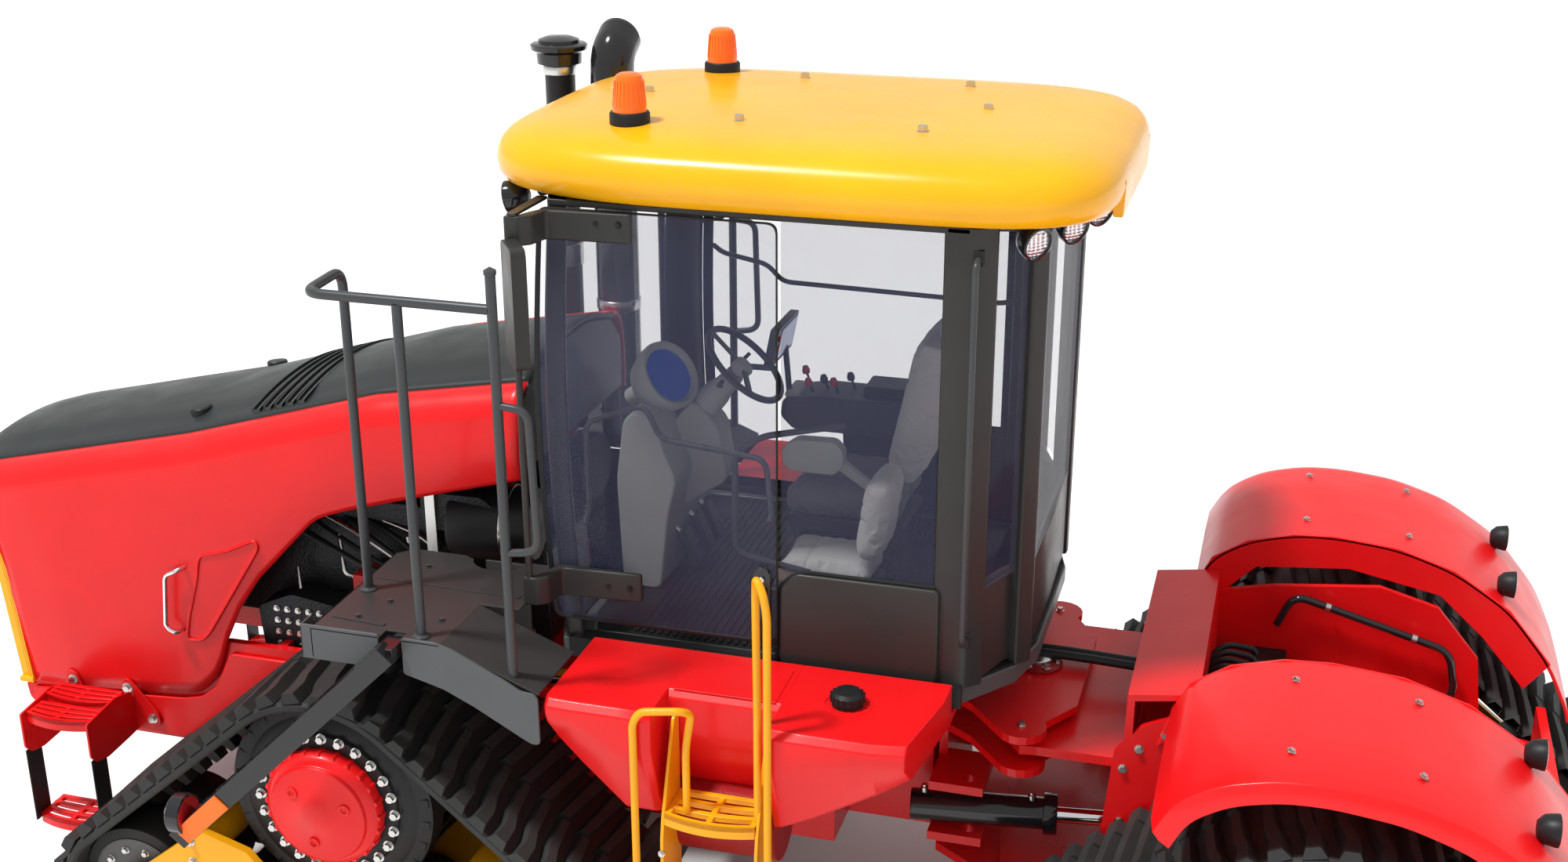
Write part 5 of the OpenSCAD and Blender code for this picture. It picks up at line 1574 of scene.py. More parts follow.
@dataclass
class Interior:
    """What stands inside the cab: seats, dash, steering column, console and floor mat."""

    shop: Workshop
    floor_z: float = 1.59
    wheel_centre: Point = (0.139, 0.0, 2.577)
    wheel_tilt: float = 42.0

    def build(self) -> None:
        """Make every piece of the interior."""
        self._seats()
        self._dash()
        self._wheel()
        self._console()
        self._floor()

    def _seats(self) -> None:
        """Make both seats: cushions, bases, armrest and side shells."""
        driver = Cushion("driver_cushion", (0.53, 0.48, 0.12), (-0.63, -0.24, 1.998), finish=SEAT_MID)
        driver.build(["driver_seat"])
        Cushion("driver_back", (0.12, 0.46, 0.66), (-0.67, -0.23, 2.16), lean=12.0).build()
        Cushion("driver_headrest", (0.08, 0.26, 0.16), (-0.815, -0.13, 2.79), lean=12.0, travel=0.012).build()
        Cushion("instructor_cushion", (0.4, 0.35, 0.1), (-0.585, 0.315, 1.852), travel=0.018).build(["instructor_seat"])
        Cushion("instructor_back", (0.085, 0.31, 0.35), (-0.61, 0.335, 1.985), lean=8.0, travel=0.018).build()
        bases = Workpiece("seat_stands", TRIM_DARK, TRIM_GREY, SOFT_BLACK)
        bases.prism(
            rounded_outline(
                [
                    (-0.62, self.floor_z), (-0.12, self.floor_z), (-0.16, 1.8), (-0.1, 1.972), (-0.64, 1.972),
                    (-0.58, 1.8)
                ],
                0.03
            ),
            -0.19, 0.19
        )
        for k in range(6):
            bases.block((-0.595 + 0.004 * k, -0.145 - 0.004 * k), (-0.2, 0.2), (1.66 + 0.045 * k, 1.682 + 0.045 * k), 2)
        bases.prism(
            rounded_outline([(-0.56, self.floor_z), (-0.18, self.floor_z), (-0.15, 1.835), (-0.59, 1.835)], 0.03),
            0.325, 0.655
        )
        bases.done("front_frame", "dark_plastic", ["seat_bases"], bevel=0.01, rounds=3)
        arms = Workpiece("seat_shells", TRIM_GREY, TRIM_DARK)
        pad = rounded_outline(
            [
                (-0.33, 2.2), (-0.14, 2.2), (-0.1, 2.235), (-0.1, 2.3), (-0.16, 2.345), (-0.33, 2.35), (-0.37, 2.31),
                (-0.37, 2.24)
            ],
            0.02
        )
        arms.prism(pad, 0.18, 0.245)
        arms.prism(rounded_outline([(-0.56, 2.12), (-0.5, 2.12), (-0.3, 2.25), (-0.33, 2.29)], 0.015), 0.195, 0.23)
        arms.pipe(
            [(-0.34, 0.66, 1.93), (-0.02, 0.66, 1.98), (-0.02, 0.66, 2.42), (-0.12, 0.64, 2.5), (-0.42, 0.42, 2.5)],
            0.014, 0.06, 12, 1
        )
        arms.done("front_frame", "grey_plastic", bevel=0.012, rounds=3)
        seams = Workpiece("seat_piping", SEAT_DARK)
        seams.pipe(
            [(-0.6, -0.2, 2.062), (-0.6, 0.2, 2.062), (-0.14, 0.2, 2.062), (-0.14, -0.2, 2.062), (-0.6, -0.2, 2.062)],
            0.004, 0.03, 8
        )
        seams.done("front_frame", "seat_fabric", bevel=0.0)

    def _dash(self) -> None:
        """Make the dash column, the gauge pod with its round screen, and the pedals."""
        dash = Workpiece("dash_column", TRIM_GREY, TRIM_DARK, SCREEN_BLUE)
        side = [
            (0.44, self.floor_z), (0.62, self.floor_z), (0.638, 2.1), (0.6, 2.38), (0.55, 2.42), (0.46, 2.4),
            (0.42, 2.25), (0.36, 2.12), (0.4, 1.95)
        ]
        dash.prism(rounded_outline(side, 0.04, 4), -0.24, 0.31)
        low = [(0.2, 2.05), (0.42, 1.9), (0.46, 2.3), (0.36, 2.42), (0.24, 2.3)]
        dash.prism(rounded_outline(low, 0.04, 4), -0.08, 0.08)
        dash.done("front_frame", "grey_plastic", ["dashboard"], bevel=0.03, rounds=4)
        pod = Workpiece("gauge_pod", TRIM_GREY, SCREEN_BLUE, TRIM_DARK)
        base, aim = (0.5, 0.08, 2.5), (-0.72, 0.28, 0.52)
        pod.turned(
            [(0.05, -0.12), (0.12, -0.07), (0.15, 0.0), (0.158, 0.05), (0.152, 0.075), (0.135, 0.07), (0.125, 0.052)],
            base, aim, 48, 0
        )
        pod.turned([(0.122, 0.05), (0.121, 0.056), (0.0, 0.057)], base, aim, 48, 1)
        pod.turned([(0.05, 0.0), (0.04, -0.22)], base, aim, 24, 0)
        pod.done("front_frame", "grey_plastic", bevel=0.003)
        column = Workpiece("steering_column", TRIM_GREY, TRIM_DARK)
        along = Vector((-math.sin(math.radians(self.wheel_tilt)), 0, math.cos(math.radians(self.wheel_tilt))))
        foot = Vector(self.wheel_centre) - along * 0.45
        column.turned([(0.07, 0.0), (0.075, 0.1), (0.062, 0.26), (0.05, 0.3), (0.042, 0.385)], foot, along, 32)
        for way in (1, -1):
            bend, tip = Vector((0, 0.12 * way, 0.03)), Vector((-0.02, 0.2 * way, 0.05))
            stalk = [foot + along * 0.3, foot + along * 0.32 + bend, foot + along * 0.36 + tip]
            column.pipe(stalk, 0.009, 0.03, 10, 1)
        column.done("front_frame", "grey_plastic", bevel=0.0)
        pedals = Workpiece("pedals", TRIM_DARK, STEEL)
        for y in (-0.2, -0.06, 0.12):
            pedals.prism(rounded_outline([(0.3, 1.68), (0.33, 1.66), (0.4, 1.82), (0.37, 1.84)], 0.006), y, y + 0.08)
            pedals.pipe([(0.38, y + 0.04, 1.8), (0.45, y + 0.04, 1.86)], 0.012, 0.0, 10, 1)
        pedals.done("front_frame", "black_plastic", bevel=0.004)

    def _wheel(self) -> None:
        """Make the steering wheel with its three spokes and hub."""
        wheel = Workpiece("steering_wheel_rim", TRIM_DARK, TRIM_GREY)
        c = Vector(self.wheel_centre)
        t = math.radians(self.wheel_tilt)
        along, fore, side = Vector((-math.sin(t), 0, math.cos(t))), Vector((math.cos(t), 0, math.sin(t))), Vector(LEFT)
        ring = [c + (fore * math.cos(a) + side * math.sin(a)) * 0.205 for a in around(64)]
        wheel.pipe(ring, 0.015, segments=14, looped=True)
        for a in (0, 120, 240):
            way = fore * math.cos(math.radians(a)) + side * math.sin(math.radians(a))
            wheel.bar(c + way * 0.02 - along * 0.01, c + way * 0.2, 0.03, 0.01, hint=tuple(along))
        wheel.turned(
            [(0.03, -0.045), (0.045, -0.03), (0.05, 0.0), (0.042, 0.014), (0.0, 0.02)], c - along * 0.01, along, 36, 1
        )
        wheel.done("steering_wheel", "dark_plastic", ["steering_wheel"], bevel=0.002)

    def _console(self) -> None:
        """Make the right console with its levers, keys, hatch and screen."""
        console = Workpiece("arm_console", TRIM_DARK, TRIM_GREY, SOFT_BLACK)
        top = [(-0.64, 2.16), (0.02, 2.16), (0.08, 2.22), (0.07, 2.3), (-0.1, 2.33), (-0.6, 2.33), (-0.64, 2.3)]
        console.prism(rounded_outline(top, 0.02), -0.6, -0.345)
        console.prism([(-0.54, self.floor_z), (-0.22, self.floor_z), (-0.2, 2.17), (-0.56, 2.17)], -0.55, -0.41)
        console.block((-0.6, -0.3), (-0.58, -0.4), (2.325, 2.38), 2)
        console.block((0.0, 0.07), (-0.57, -0.38), (2.3, 2.326), 1)
        console.done("front_frame", "grey_plastic", ["control_console"], bevel=0.015, rounds=3)
        screen = Workpiece("console_screen", TRIM_DARK, SCREEN_BLUE, KNOB_RED)
        screen.prism(rounded_outline([(-0.28, 2.5), (0.26, 2.5), (0.26, 2.68), (-0.28, 2.68)], 0.02), 0.0, 0.04, "x", 0)
        screen.prism(
            rounded_outline([(-0.25, 2.52), (0.16, 2.52), (0.16, 2.66), (-0.25, 2.66)], 0.01), -0.003, 0.001, "x", 1
        )
        for k in range(3):
            screen.turned([(0.014, 0), (0.014, 0.008), (0.0, 0.01)], (-0.001, 0.215, 2.54 + 0.045 * k), BACK, 14, 2)
        screen.warp(lambda p: Vector((0.06 + p.x - 0.2 * (p.z - 2.58), -0.36 + p.y * 0.62, p.z)))
        screen.pipe([(0.06, -0.44, 2.3), (0.075, -0.42, 2.54)], 0.014, 0.0, 12, 0)
        screen.done("front_frame", "grey_plastic", bevel=0.005)
        levers = Workpiece("levers", KNOB_RED, SOFT_BLACK)
        for k, (x, y, finish) in enumerate(
            ((-0.06, -0.42, 0), (-0.12, -0.47, 1), (-0.18, -0.42, 0), (-0.24, -0.5, 1), (-0.02, -0.52, 0))
        ):
            levers.pipe([(x, y, 2.325), (x + 0.02, y, 2.36 + 0.006 * k)], 0.006, 0.0, 8, 1)
            levers.turned(
                [(0.0, 0), (0.016, 0.004), (0.019, 0.02), (0.012, 0.04), (0.0, 0.044)], (x + 0.02, y, 2.35 + 0.006 * k),
                (0.2, 0, 1), 18, finish
            )
        levers.done("front_frame", "black_plastic", bevel=0.0)

    def _floor(self) -> None:
        """Make the ribbed floor mat."""
        mat = Workpiece("floor_mat", SOFT_BLACK).block(
            (-0.95, 0.42), (-0.78, 0.78), (self.floor_z + 0.001, self.floor_z + 0.012)
        )
        mat.done("front_frame", "dark_plastic", bevel=0.003)
        self.shop.slat_row(
            "mat_ribs", 40, (-0.93, 0.0, self.floor_z + 0.015), (0.034, 0.0, 0.0), (0.014, 1.5, 0.006), "front_frame",
            "dark_plastic", SOFT_BLACK,
        )


# ---------------------------------------------------------------- front half


@dataclass
class FrontHalf:
    """Tanks, ladder, decks, steps, stacks and engine bay of the front half."""

    shop: Workshop
    deck_z: float = 1.83
    tank_z: float = 1.65
    body_y: float = 1.5
    rail_r: float = 0.02

    def build(self) -> None:
        """Make every piece of the front half."""
        self._tanks()
        self._ladder()
        self._decks()
        self._railings()
        self._steps()
        self._marker_arms()
        self._stacks()
        self._engine()
        self._skirt()

    def _tanks(self) -> None:
        """Make the moulded side tanks with their recess, shelf and filler; the recess's darker red is painted shade."""
        z, shelf = self.tank_z, 1.505
        tanks = Workpiece("side_tanks", RED_PANEL, DARK_RED)

        def section(x: float, foot: float, outer: float, inner: float = 0.645) -> list[Point]:
            """Return one cross-section of a tank at x."""
            lean = 0.13
            mid = foot + 0.3
            points = [(inner, foot), (outer - lean - 0.02, foot), (outer - lean + 0.02, foot + 0.025)]
            points += [
                (outer - 0.012, min(mid, z - 0.1)), (outer, min(mid + 0.05, z - 0.06)), (outer, z - 0.03),
                (outer - 0.03, z)
            ]
            points += [(0.93, z), (0.925, shelf), (inner, shelf)]
            return [(x, y, h) for y, h in points]

        front = [
            (0.515, 1.43, 1.47), (0.5, 1.41, 1.495), (0.4, 1.31, 1.5), (0.215, 1.135, 1.5), (0.1, 1.135, 1.5),
            (0.07, 1.135, 1.48)
        ]
        tanks.loft([section(*row) for row in front])
        tanks.loft([section(x, 1.135, 1.29) for x in (0.075, -0.395)])
        rear = [
            (-0.39, 1.135, 1.48), (-0.42, 1.15, 1.5), (-0.55, 1.213, 1.5), (-0.8, 1.36, 1.5), (-0.93, 1.44, 1.48),
            (-1.0, 1.52, 1.1)
        ]
        tanks.loft([section(x, min(foot, shelf - 0.03), outer) for x, foot, outer in rear])
        tanks.both_sides().done("front_frame", "red_plastic", ["fuel_tanks"], bevel=0.014, rounds=4, sharp=30)
        # Cylinder under the tank in darker red: painted shade, not its own colour.
        recess = Workpiece("tank_recess", DARK_RED)
        recess.turned([(0.15, 0), (0.15, 0.44)], (-0.385, 1.2, 1.07), (1, 0, 0), 32)
        recess.both_sides().done("front_frame", "red_paint", bevel=0.0)
        filler = Workpiece("fuel_fillers", SOFT_BLACK, RED_PANEL)
        at = (-0.64, 1.2, z - 0.004)
        filler.turned([(0.098, 0), (0.098, 0.006), (0.088, 0.008), (0.085, 0.002)], at, UP, 40, 1)
        filler.turned(
            [(0.062, 0), (0.062, 0.02), (0.066, 0.024), (0.064, 0.05), (0.05, 0.064), (0.0, 0.068)], at, UP, 40, 0
        )
        for a in around(16):
            foot = (at[0] + 0.064 * math.cos(a), at[1] + 0.064 * math.sin(a), at[2] + 0.022)
            filler.turned([(0.006, 0), (0.006, 0.03)], foot, UP, 8, 0)
        filler.both_sides().done("front_frame", "black_plastic", bevel=0.0)
        pads = Workpiece("tank_top_steps", RED_PANEL)
        pads.block((-0.37, 0.05), (1.0, 1.27), (z - 0.002, z + 0.004))
        pads.both_sides().done("front_frame", "red_plastic", bevel=0.002)

    def _ladder(self) -> None:
        """Make the yellow ladder with perforated treads and its two handrails."""
        ladder = Workpiece("ladder_frame", BEAM_YELLOW)
        y0, y1 = 1.295, 1.51
        for x in (-0.365, 0.02):
            side = [
                (y0, 1.57), (y0 + 0.05, 1.57), (y1 - 0.02, 1.2), (y1, 1.1), (y1, 0.44), (y1 - 0.03, 0.42),
                (y0 + 0.02, 0.42), (y0, 0.5)
            ]
            ladder.prism(rounded_outline(side, 0.02), x, x + 0.014, "x")
        ladder.done("front_frame", "yellow_paint", ["cab_ladder"], bevel=0.003)
        treads = Workpiece("ladder_treads", BEAM_YELLOW)
        for z in (0.45, 0.82, 1.2):
            self.slotted_tread(treads, (-0.35, 0.02), (y0, y1 + 0.02), z, 2)
        treads.done("front_frame", "yellow_paint", bevel=0.003)
        rails = Workpiece("ladder_handrails", BEAM_YELLOW)
        r, y, inner = 0.0155, 1.52, 1.45
        rails.pipe(
            [
                (0.13, y, 0.7), (0.13, y, 1.62), (0.1, y, 1.675), (-0.06, y - 0.02, 1.69), (-0.085, inner, 1.655),
                (-0.06, inner, 1.5), (-0.06, inner, 1.22)
            ],
            r, 0.05
        )
        rails.pipe(
            [
                (-0.41, y, 0.7), (-0.41, y, 2.15), (-0.395, y, 2.24), (-0.36, y - 0.03, 2.285), (-0.345, inner, 2.21),
                (-0.35, inner, 1.68), (-0.35, inner, 1.22)
            ],
            r, 0.04
        )
        rails.done("front_frame", "yellow_paint", bevel=0.0)
        spots = [Spot((x, 1.512, z), LEFT) for x in (-0.358, 0.027) for z in (0.47, 0.84, 1.05)]
        self.shop.bolt_set("ladder_bolts", spots, "front_frame", "chrome", 0.01, 0.01)

    @staticmethod
    def slotted_tread(piece: Workpiece, x: Flat, y: Flat, z: float, rows: int) -> None:
        """Add one tread with a bulged outer edge and a grid of open slots.

        Args:
            piece: Piece that the tread is added to.
            x: Where the tread starts and ends.
            y: Its inner and outer edge.
            z: Height of its underside.
            rows: Columns of slots along x.
        """
        lines, steps, wide, thick = 4, 10, 0.026, 0.024
        middle, half = (x[0] + x[1]) / 2, (x[1] - x[0]) / 2

        def bulge(p: Vector) -> Vector:
            """Push the outer edge out in the middle of the tread."""
            share = max(0.0, (p.y - y[0]) / (y[1] - y[0]))
            return Vector((p.x, p.y - 0.035 * share * ((p.x - middle) / half) ** 2, p.z))

        part = Workpiece("tread", BEAM_YELLOW)
        xs = [x[0] + (x[1] - x[0]) * i / steps for i in range(steps + 1)]
        for i in range(lines):
            at = y[0] + (y[1] - y[0] - wide) * i / (lines - 1)
            part.loft([[(px, at, z), (px, at + wide, z), (px, at + wide, z + thick), (px, at, z + thick)] for px in xs])
        for k in range(rows + 1):
            px = x[0] + (x[1] - x[0] - thick) * k / rows
            part.block((px, px + thick), (y[0] + 0.002, y[1] - 0.004), (z + 0.002, z + thick - 0.002))
        part.loft(
            [
                [
                    (px, y[1] - 0.008, z - 0.03), (px, y[1], z - 0.03), (px, y[1], z + thick),
                    (px, y[1] - 0.008, z + thick)
                ]
                for px in xs
            ]
        )
        part.warp(bulge)
        mesh = part.released()
        piece.mesh.from_mesh(mesh)
        bpy.data.meshes.remove(mesh)

    def _decks(self) -> None:
        """Make the decks over the front tracks, with their fascias and wings."""
        z, y = self.deck_z, self.body_y
        deck = Workpiece("deck_plates", DECK_GREY)
        scallop = [
            (1.03 + 0.12 * math.cos(math.radians(a)), 0.7 + 0.1 * math.sin(math.radians(a))) for a in range(170, 9, -20)
        ]
        plan = [
            (0.76, 0.69), (0.9, 0.69), *scallop, (1.2, 0.69), (1.44, 0.69), (1.5, 0.76), (1.5, y), (1.195, y),
            (1.195, 1.435)
        ]
        plan += [(1.105, 1.435), (1.105, y), (0.935, y), (0.935, 1.12), (0.76, 1.12)]
        deck.prism(plan, z - 0.008, z, "z")
        wing = [(0.936, z), (0.528, self.tank_z + 0.02), (0.528, self.tank_z + 0.012), (0.936, z - 0.008)]
        deck.prism(wing, 1.12, y - 0.011)
        deck.prism([(1.492, 1.7), (1.5, 1.7), (1.5, z), (1.492, z)], 0.75, y)
        deck.block((0.9, 1.1), (0.6, 0.702), (1.11, 1.125)).block((0.9, 1.1), (0.69, 0.702), (1.11, z - 0.007))
        deck.both_sides().done("front_frame", "dark_paint", ["track_platforms"], bevel=0.002)
        # Fascias in dark paint, lightened by a painted sheen.
        fascia = Workpiece("deck_fascias", FASCIA_GREY_PAINTED_SHEEN)
        front = rounded_outline([(1.545, 1.69), (1.545, 1.84), (1.2, 1.84), (1.2, 1.69)], 0.012)
        rear = [
            (1.1, 1.68), (1.1, 1.838), (0.96, 1.838), (0.88, 1.815), (0.66, 1.71), (0.6, 1.675), (0.545, 1.672),
            (0.528, 1.65)
        ]
        rear += [(0.528, 1.45), (0.56, 1.445), (0.6, 1.465), (0.8, 1.575), (0.93, 1.635)]
        fascia.prism(front, y - 0.012, y).prism(rounded_outline(rear, 0.014), y - 0.012, y)
        fascia.prism([(1.545, 1.69), (1.545, 1.84), (1.537, 1.84), (1.537, 1.69)], y - 0.09, y)
        fascia.both_sides().done("front_frame", "dark_paint", bevel=0.003)
        spots = [Spot((x, q, z), UP) for x, q in ((1.3, 1.2), (1.36, 1.36), (1.02, 1.3), (1.3, 0.85), (0.88, 0.95))]
        self.shop.bolt_set("deck_bolts", mirrored(spots), "front_frame", "chrome", 0.013, 0.01, RAIL_GREY)
        seams = Workpiece("deck_ribs", DECK_GREY)
        for x0, y0, x1, y1 in ((1.46, 1.0, 0.8, 1.02), (1.46, 1.38, 1.22, 1.4)):
            seams.bar((x0, y0, z + 0.001), (x1, y1, z + 0.001), 0.02, 0.006)
        seams.both_sides().done("front_frame", "dark_paint", bevel=0.001)

    def _railings(self) -> None:
        """Make the deck handrails with their posts, loops and feet."""
        z, r, top = self.deck_z, self.rail_r, 3.21
        rails = Workpiece("deck_railings", RAIL_GREY)
        rails.pipe([(1.44, 1.115, z), (1.44, 1.115, top), (1.42, 1.44, top), (0.66, 1.45, top)], r, 0.08, 16)
        rails.pipe([(1.034, 1.45, z - 0.02), (1.034, 1.45, top - 0.01)], r, 0.0, 16)
        rails.pipe([(0.65, 1.45, self.tank_z + 0.065), (0.65, 1.45, 3.35)], r, 0.0, 16)
        rails.turned([(r, 0), (r + 0.004, 0.006), (r + 0.004, 0.02), (0.0, 0.034)], (0.65, 1.45, 3.34), UP, 20)
        rails.pipe(
            [(0.65, 1.45, 2.84), (0.53, 1.45, 2.83), (0.515, 1.45, 2.26), (0.65, 1.45, 2.24)], r * 0.78, 0.07, 14
        )
        for x, y, foot in ((1.44, 1.115, z), (1.034, 1.45, z)):
            rails.turned([(0.036, 0), (0.036, 0.006), (0.024, 0.012), (0.021, 0.014)], (x, y, foot), UP, 20)
        rails.both_sides().done("front_frame", "rail_black", ["platform_railings"], bevel=0.0)

    def _steps(self) -> None:
        """Make the front steps: brackets, slotted treads, straps and bolts."""
        x0, x1 = 3.022, 3.39
        brackets = Workpiece("step_brackets", RED_PAINT, SOFT_BLACK)
        for x in (x0, x1 - 0.012):
            outline = [
                (0.603, 0.66), (0.603, 0.79), (0.645, 0.82), (0.66, 0.87), (0.78, 0.9), (1.005, 0.875), (1.005, 0.7),
                (0.97, 0.66), (0.88, 0.64), (0.72, 0.65)
            ]
            brackets.prism(rounded_outline(outline, 0.012), x, x + 0.012, "x")
            brackets.block((x + 0.002, x + 0.01), (0.895, 1.003), (0.302, 0.68), 1)
        tab = [
            (3.05, 0.93), (3.015, 0.9), (2.9, 0.76), (2.89, 0.7), (2.92, 0.68), (3.02, 0.66), (3.08, 0.72), (3.08, 0.9)
        ]
        brackets.prism(rounded_outline(tab, 0.02), 0.63, 0.642)
        ear = [(3.33, 0.92), (3.38, 0.93), (3.4, 0.89), (3.4, 0.7), (3.31, 0.7), (3.29, 0.8)]
        brackets.prism(rounded_outline(ear, 0.02), 0.63, 0.642)
        brackets.both_sides().done("front_frame", "red_paint", ["front_steps"], bevel=0.003)
        treads = Workpiece("step_treads", RED_PAINT)
        for y, z in (((0.7, 0.85), 0.868), ((0.855, 1.005), 0.85), ((0.8, 1.005), 0.305)):
            self.slotted_tread(treads, (x0 + 0.008, x1 - 0.008), y, z, 2)
        treads.both_sides().done("front_frame", "red_paint", bevel=0.003)
        spots = [Spot((x, 0.643, z), LEFT) for x, z in ((3.05, 0.88), (3.35, 0.88), (2.93, 0.73))]
        self.shop.bolt_set("step_bolts", mirrored(spots), "front_frame", "chrome", 0.018, 0.016)

    def _marker_arms(self) -> None:
        """Make the slanted arms with their amber reflectors and round red lamps."""
        arms = Workpiece("marker_arm_tubes", GLOSS_BLACK)
        a, b = Vector((1.13, 1.555, 1.8)), Vector((2.08, 1.7, 0.88))
        way = (b - a).normalized()
        side = way.cross(Vector(UP)).normalized()
        top = side.cross(way)

        signs = ((-1, -1), (1, -1), (1, 1), (-1, 1))

        def square(at: Vector, half: float) -> list[Point]:
            """Return a square section of the tube at a point."""
            return [at + side * u * half + top * v * half for u, v in signs]

        arms.loft([square(a, 0.043), square(b, 0.043), square(b, 0.037), square(b - way * 0.2, 0.037)])
        arms.block((1.11, 1.19), (1.44, 1.56), (1.75, 1.812))
        arms.both_sides().done("front_frame", "dark_paint", ["marker_arms"], bevel=0.004, rounds=3)
        lamps = Workpiece("marker_lamp_set", GLOSS_BLACK, TAIL_RED, AMBER)
        c = (2.075, 1.686, 0.985)
        lamps.turned(
            [(0.0, -0.034), (0.074, -0.032), (0.084, -0.022), (0.086, 0.02), (0.086, 0.036), (0.079, 0.038)], c,
            (-1, 0.0, 0.04), 40, 0
        )
        lamps.turned([(0.08, 0.028), (0.076, 0.039), (0.0, 0.041)], c, (-1, 0.0, 0.04), 40, 1)
        lamps.pipe([(2.08, 1.69, 0.9), (2.07, 1.7, 0.95)], 0.014, 0.0, 10, 0)
        # The amber reflectors take the amber lens finish; its faint glow on them is painted, as they are no lamp.
        for shift, depths in ((-0.048, (-0.004, 0.006)), (0.048, (-0.006, 0.004))):
            at = a.lerp(b, 0.87) + side * shift
            lamps.loft([[at + way * u * 0.13 + top * v * 0.04 + side * d for u, v in signs] for d in depths], 2)
        lamps.both_sides().done("front_frame", "lamp_orange", ["marker_lamps"], bevel=0.002)

    def _stacks(self) -> None:
        """Make the exhaust with its bent end and the air intake with its cap."""
        z, x, y = self.deck_z, 1.03, -0.8
        exhaust = Workpiece("exhaust_stack", GLOSS_BLACK, STEEL)
        exhaust.pipe([(x, y, z), (x, y, z + 1.77), (x, y - 0.02, z + 1.93), (x, y - 0.12, z + 1.99)], 0.1035, 0.14, 36)
        exhaust.turned(
            [(0.09, 0.0), (0.096, 0.02), (0.1, 0.024), (0.1, 0.0)], (x, y - 0.1, z + 1.985), (0, -1, 0.4), 36
        )
        exhaust.turned([(0.1036, 0), (0.108, 0.004), (0.108, 0.05), (0.1036, 0.054)], (x, y, z + 0.7), UP, 40, 1)
        exhaust.done("front_frame", "black_metal", ["exhaust_pipe"], bevel=0.0, sharp=50)
        intake = Workpiece("intake_stack", SOFT_BLACK, GLOSS_BLACK, STEEL)
        at = (1.29, y, z)
        intake.turned([(0.07, 0), (0.071, 1.86), (0.078, 1.88)], at, UP, 36, 0)
        intake.turned([(0.078, 1.83), (0.08, 1.835), (0.08, 1.865), (0.078, 1.87)], at, UP, 36, 2)
        cap = [
            (0.078, 1.872), (0.105, 1.88), (0.108, 1.93), (0.132, 1.945), (0.135, 1.965), (0.126, 1.972), (0.1, 1.975),
            (0.096, 1.99), (0.06, 2.003), (0.0, 2.007)
        ]
        intake.turned(cap, at, UP, 44, 1)
        intake.turned([(0.0715, 0.9), (0.08, 0.905), (0.08, 1.01), (0.0715, 1.015)], at, UP, 36, 2)
        intake.done("front_frame", "dark_plastic", ["air_intake"], bevel=0.0, sharp=40)

    def _engine(self) -> None:
        """Make what shows of the engine: block, head covers, pipes, pumps and filters."""
        block = Workpiece("engine_block", ENGINE_IRON, SOFT_BLACK, STEEL, KNOB_RED)
        block.prism(
            rounded_outline([(1.5, 1.21), (2.88, 1.21), (2.88, 1.72), (2.7, 1.86), (1.6, 1.86), (1.5, 1.74)], 0.03),
            -0.31, 0.31
        )
        block.prism(rounded_outline([(1.0, 1.21), (1.5, 1.21), (1.5, 1.68), (1.02, 1.68)], 0.04), -0.25, 0.25)
        block.block((2.9, 3.16), (-0.41, 0.41), (1.06, 1.79), 1)
        for k in range(6):
            block.block((1.6 + 0.2 * k, 1.74 + 0.2 * k), (-0.2, 0.2), (1.85, 1.878), 2 if k % 2 else 0)
        block.done("front_frame", "engine_metal", ["engine"], bevel=0.012, rounds=3)
        bits = Workpiece("engine_fittings", SOFT_BLACK, STEEL, KNOB_RED, ENGINE_IRON)
        bits.turned([(0.16, 0), (0.17, 0.02), (0.17, 0.36), (0.16, 0.38)], (1.0, 0.36, 1.86), (1, 0.1, 0), 32, 0)
        bits.turned(
            [(0.172, 0.1), (0.176, 0.104), (0.176, 0.13), (0.172, 0.134)], (1.0, 0.36, 1.86), (1, 0.1, 0), 32, 1
        )
        bits.prism(
            rounded_outline([(1.15, 1.84), (1.45, 1.84), (1.5, 1.9), (1.5, 2.02), (1.2, 2.02), (1.12, 1.95)], 0.03),
            0.2, 0.5, "y", 3
        )
        bits.block((1.42, 1.47), (0.35, 0.52), (1.7, 2.02), 1)
        for x, y, z, s in (
            (1.2, 0.42, 1.35, 0.1), (1.45, 0.42, 1.52, 0.08), (1.78, 0.44, 1.5, 0.09), (2.0, 0.43, 1.3, 0.11)
        ):
            bits.block((x - s, x + s), (y - 0.09, y + 0.06), (z - s * 0.7, z + s * 0.7), 2)
            bits.turned(
                [(s * 0.5, 0), (s * 0.5, 0.05), (s * 0.3, 0.06), (s * 0.3, 0.09)], (x, y + 0.055, z), LEFT, 18, 3
            )
            bits.pipe(
                [(x + s, y, z + 0.02), (x + s + 0.06, y + 0.02, z + 0.04), (x + s + 0.12, y - 0.06, z + 0.2)], 0.011,
                0.03, 10, 1
            )
        for k in range(6):
            y = 0.33 + 0.03 * (k % 3)
            route = [
                (1.06 + 0.1 * k, y, 1.3), (1.1 + 0.1 * k, y + 0.08, 1.42 + 0.03 * k), (1.35 + 0.09 * k, y + 0.1, 1.6),
                (1.6 + 0.12 * k, y, 1.72), (1.8 + 0.1 * k, 0.3, 1.76)
            ]
            bits.pipe(route, 0.012 + 0.003 * (k % 2), 0.07, 10, 0 if k % 3 else 1)
        bits.prism(
            rounded_outline([(1.9, 1.1), (2.36, 1.1), (2.38, 1.34), (2.2, 1.42), (1.94, 1.38)], 0.03), 0.36, 0.5, "y", 3
        )
        bits.both_sides().done("front_frame", "engine_metal", bevel=0.005)
        spots = [Spot((1.95 + 0.055 * i, 0.502, 1.16 + 0.06 * k), LEFT) for i in range(7) for k in range(4)]
        spots += [Spot((x, 0.482, z), LEFT) for x in (1.15, 1.25, 1.4, 1.5, 1.73, 1.83) for z in (1.3, 1.4, 1.52)]
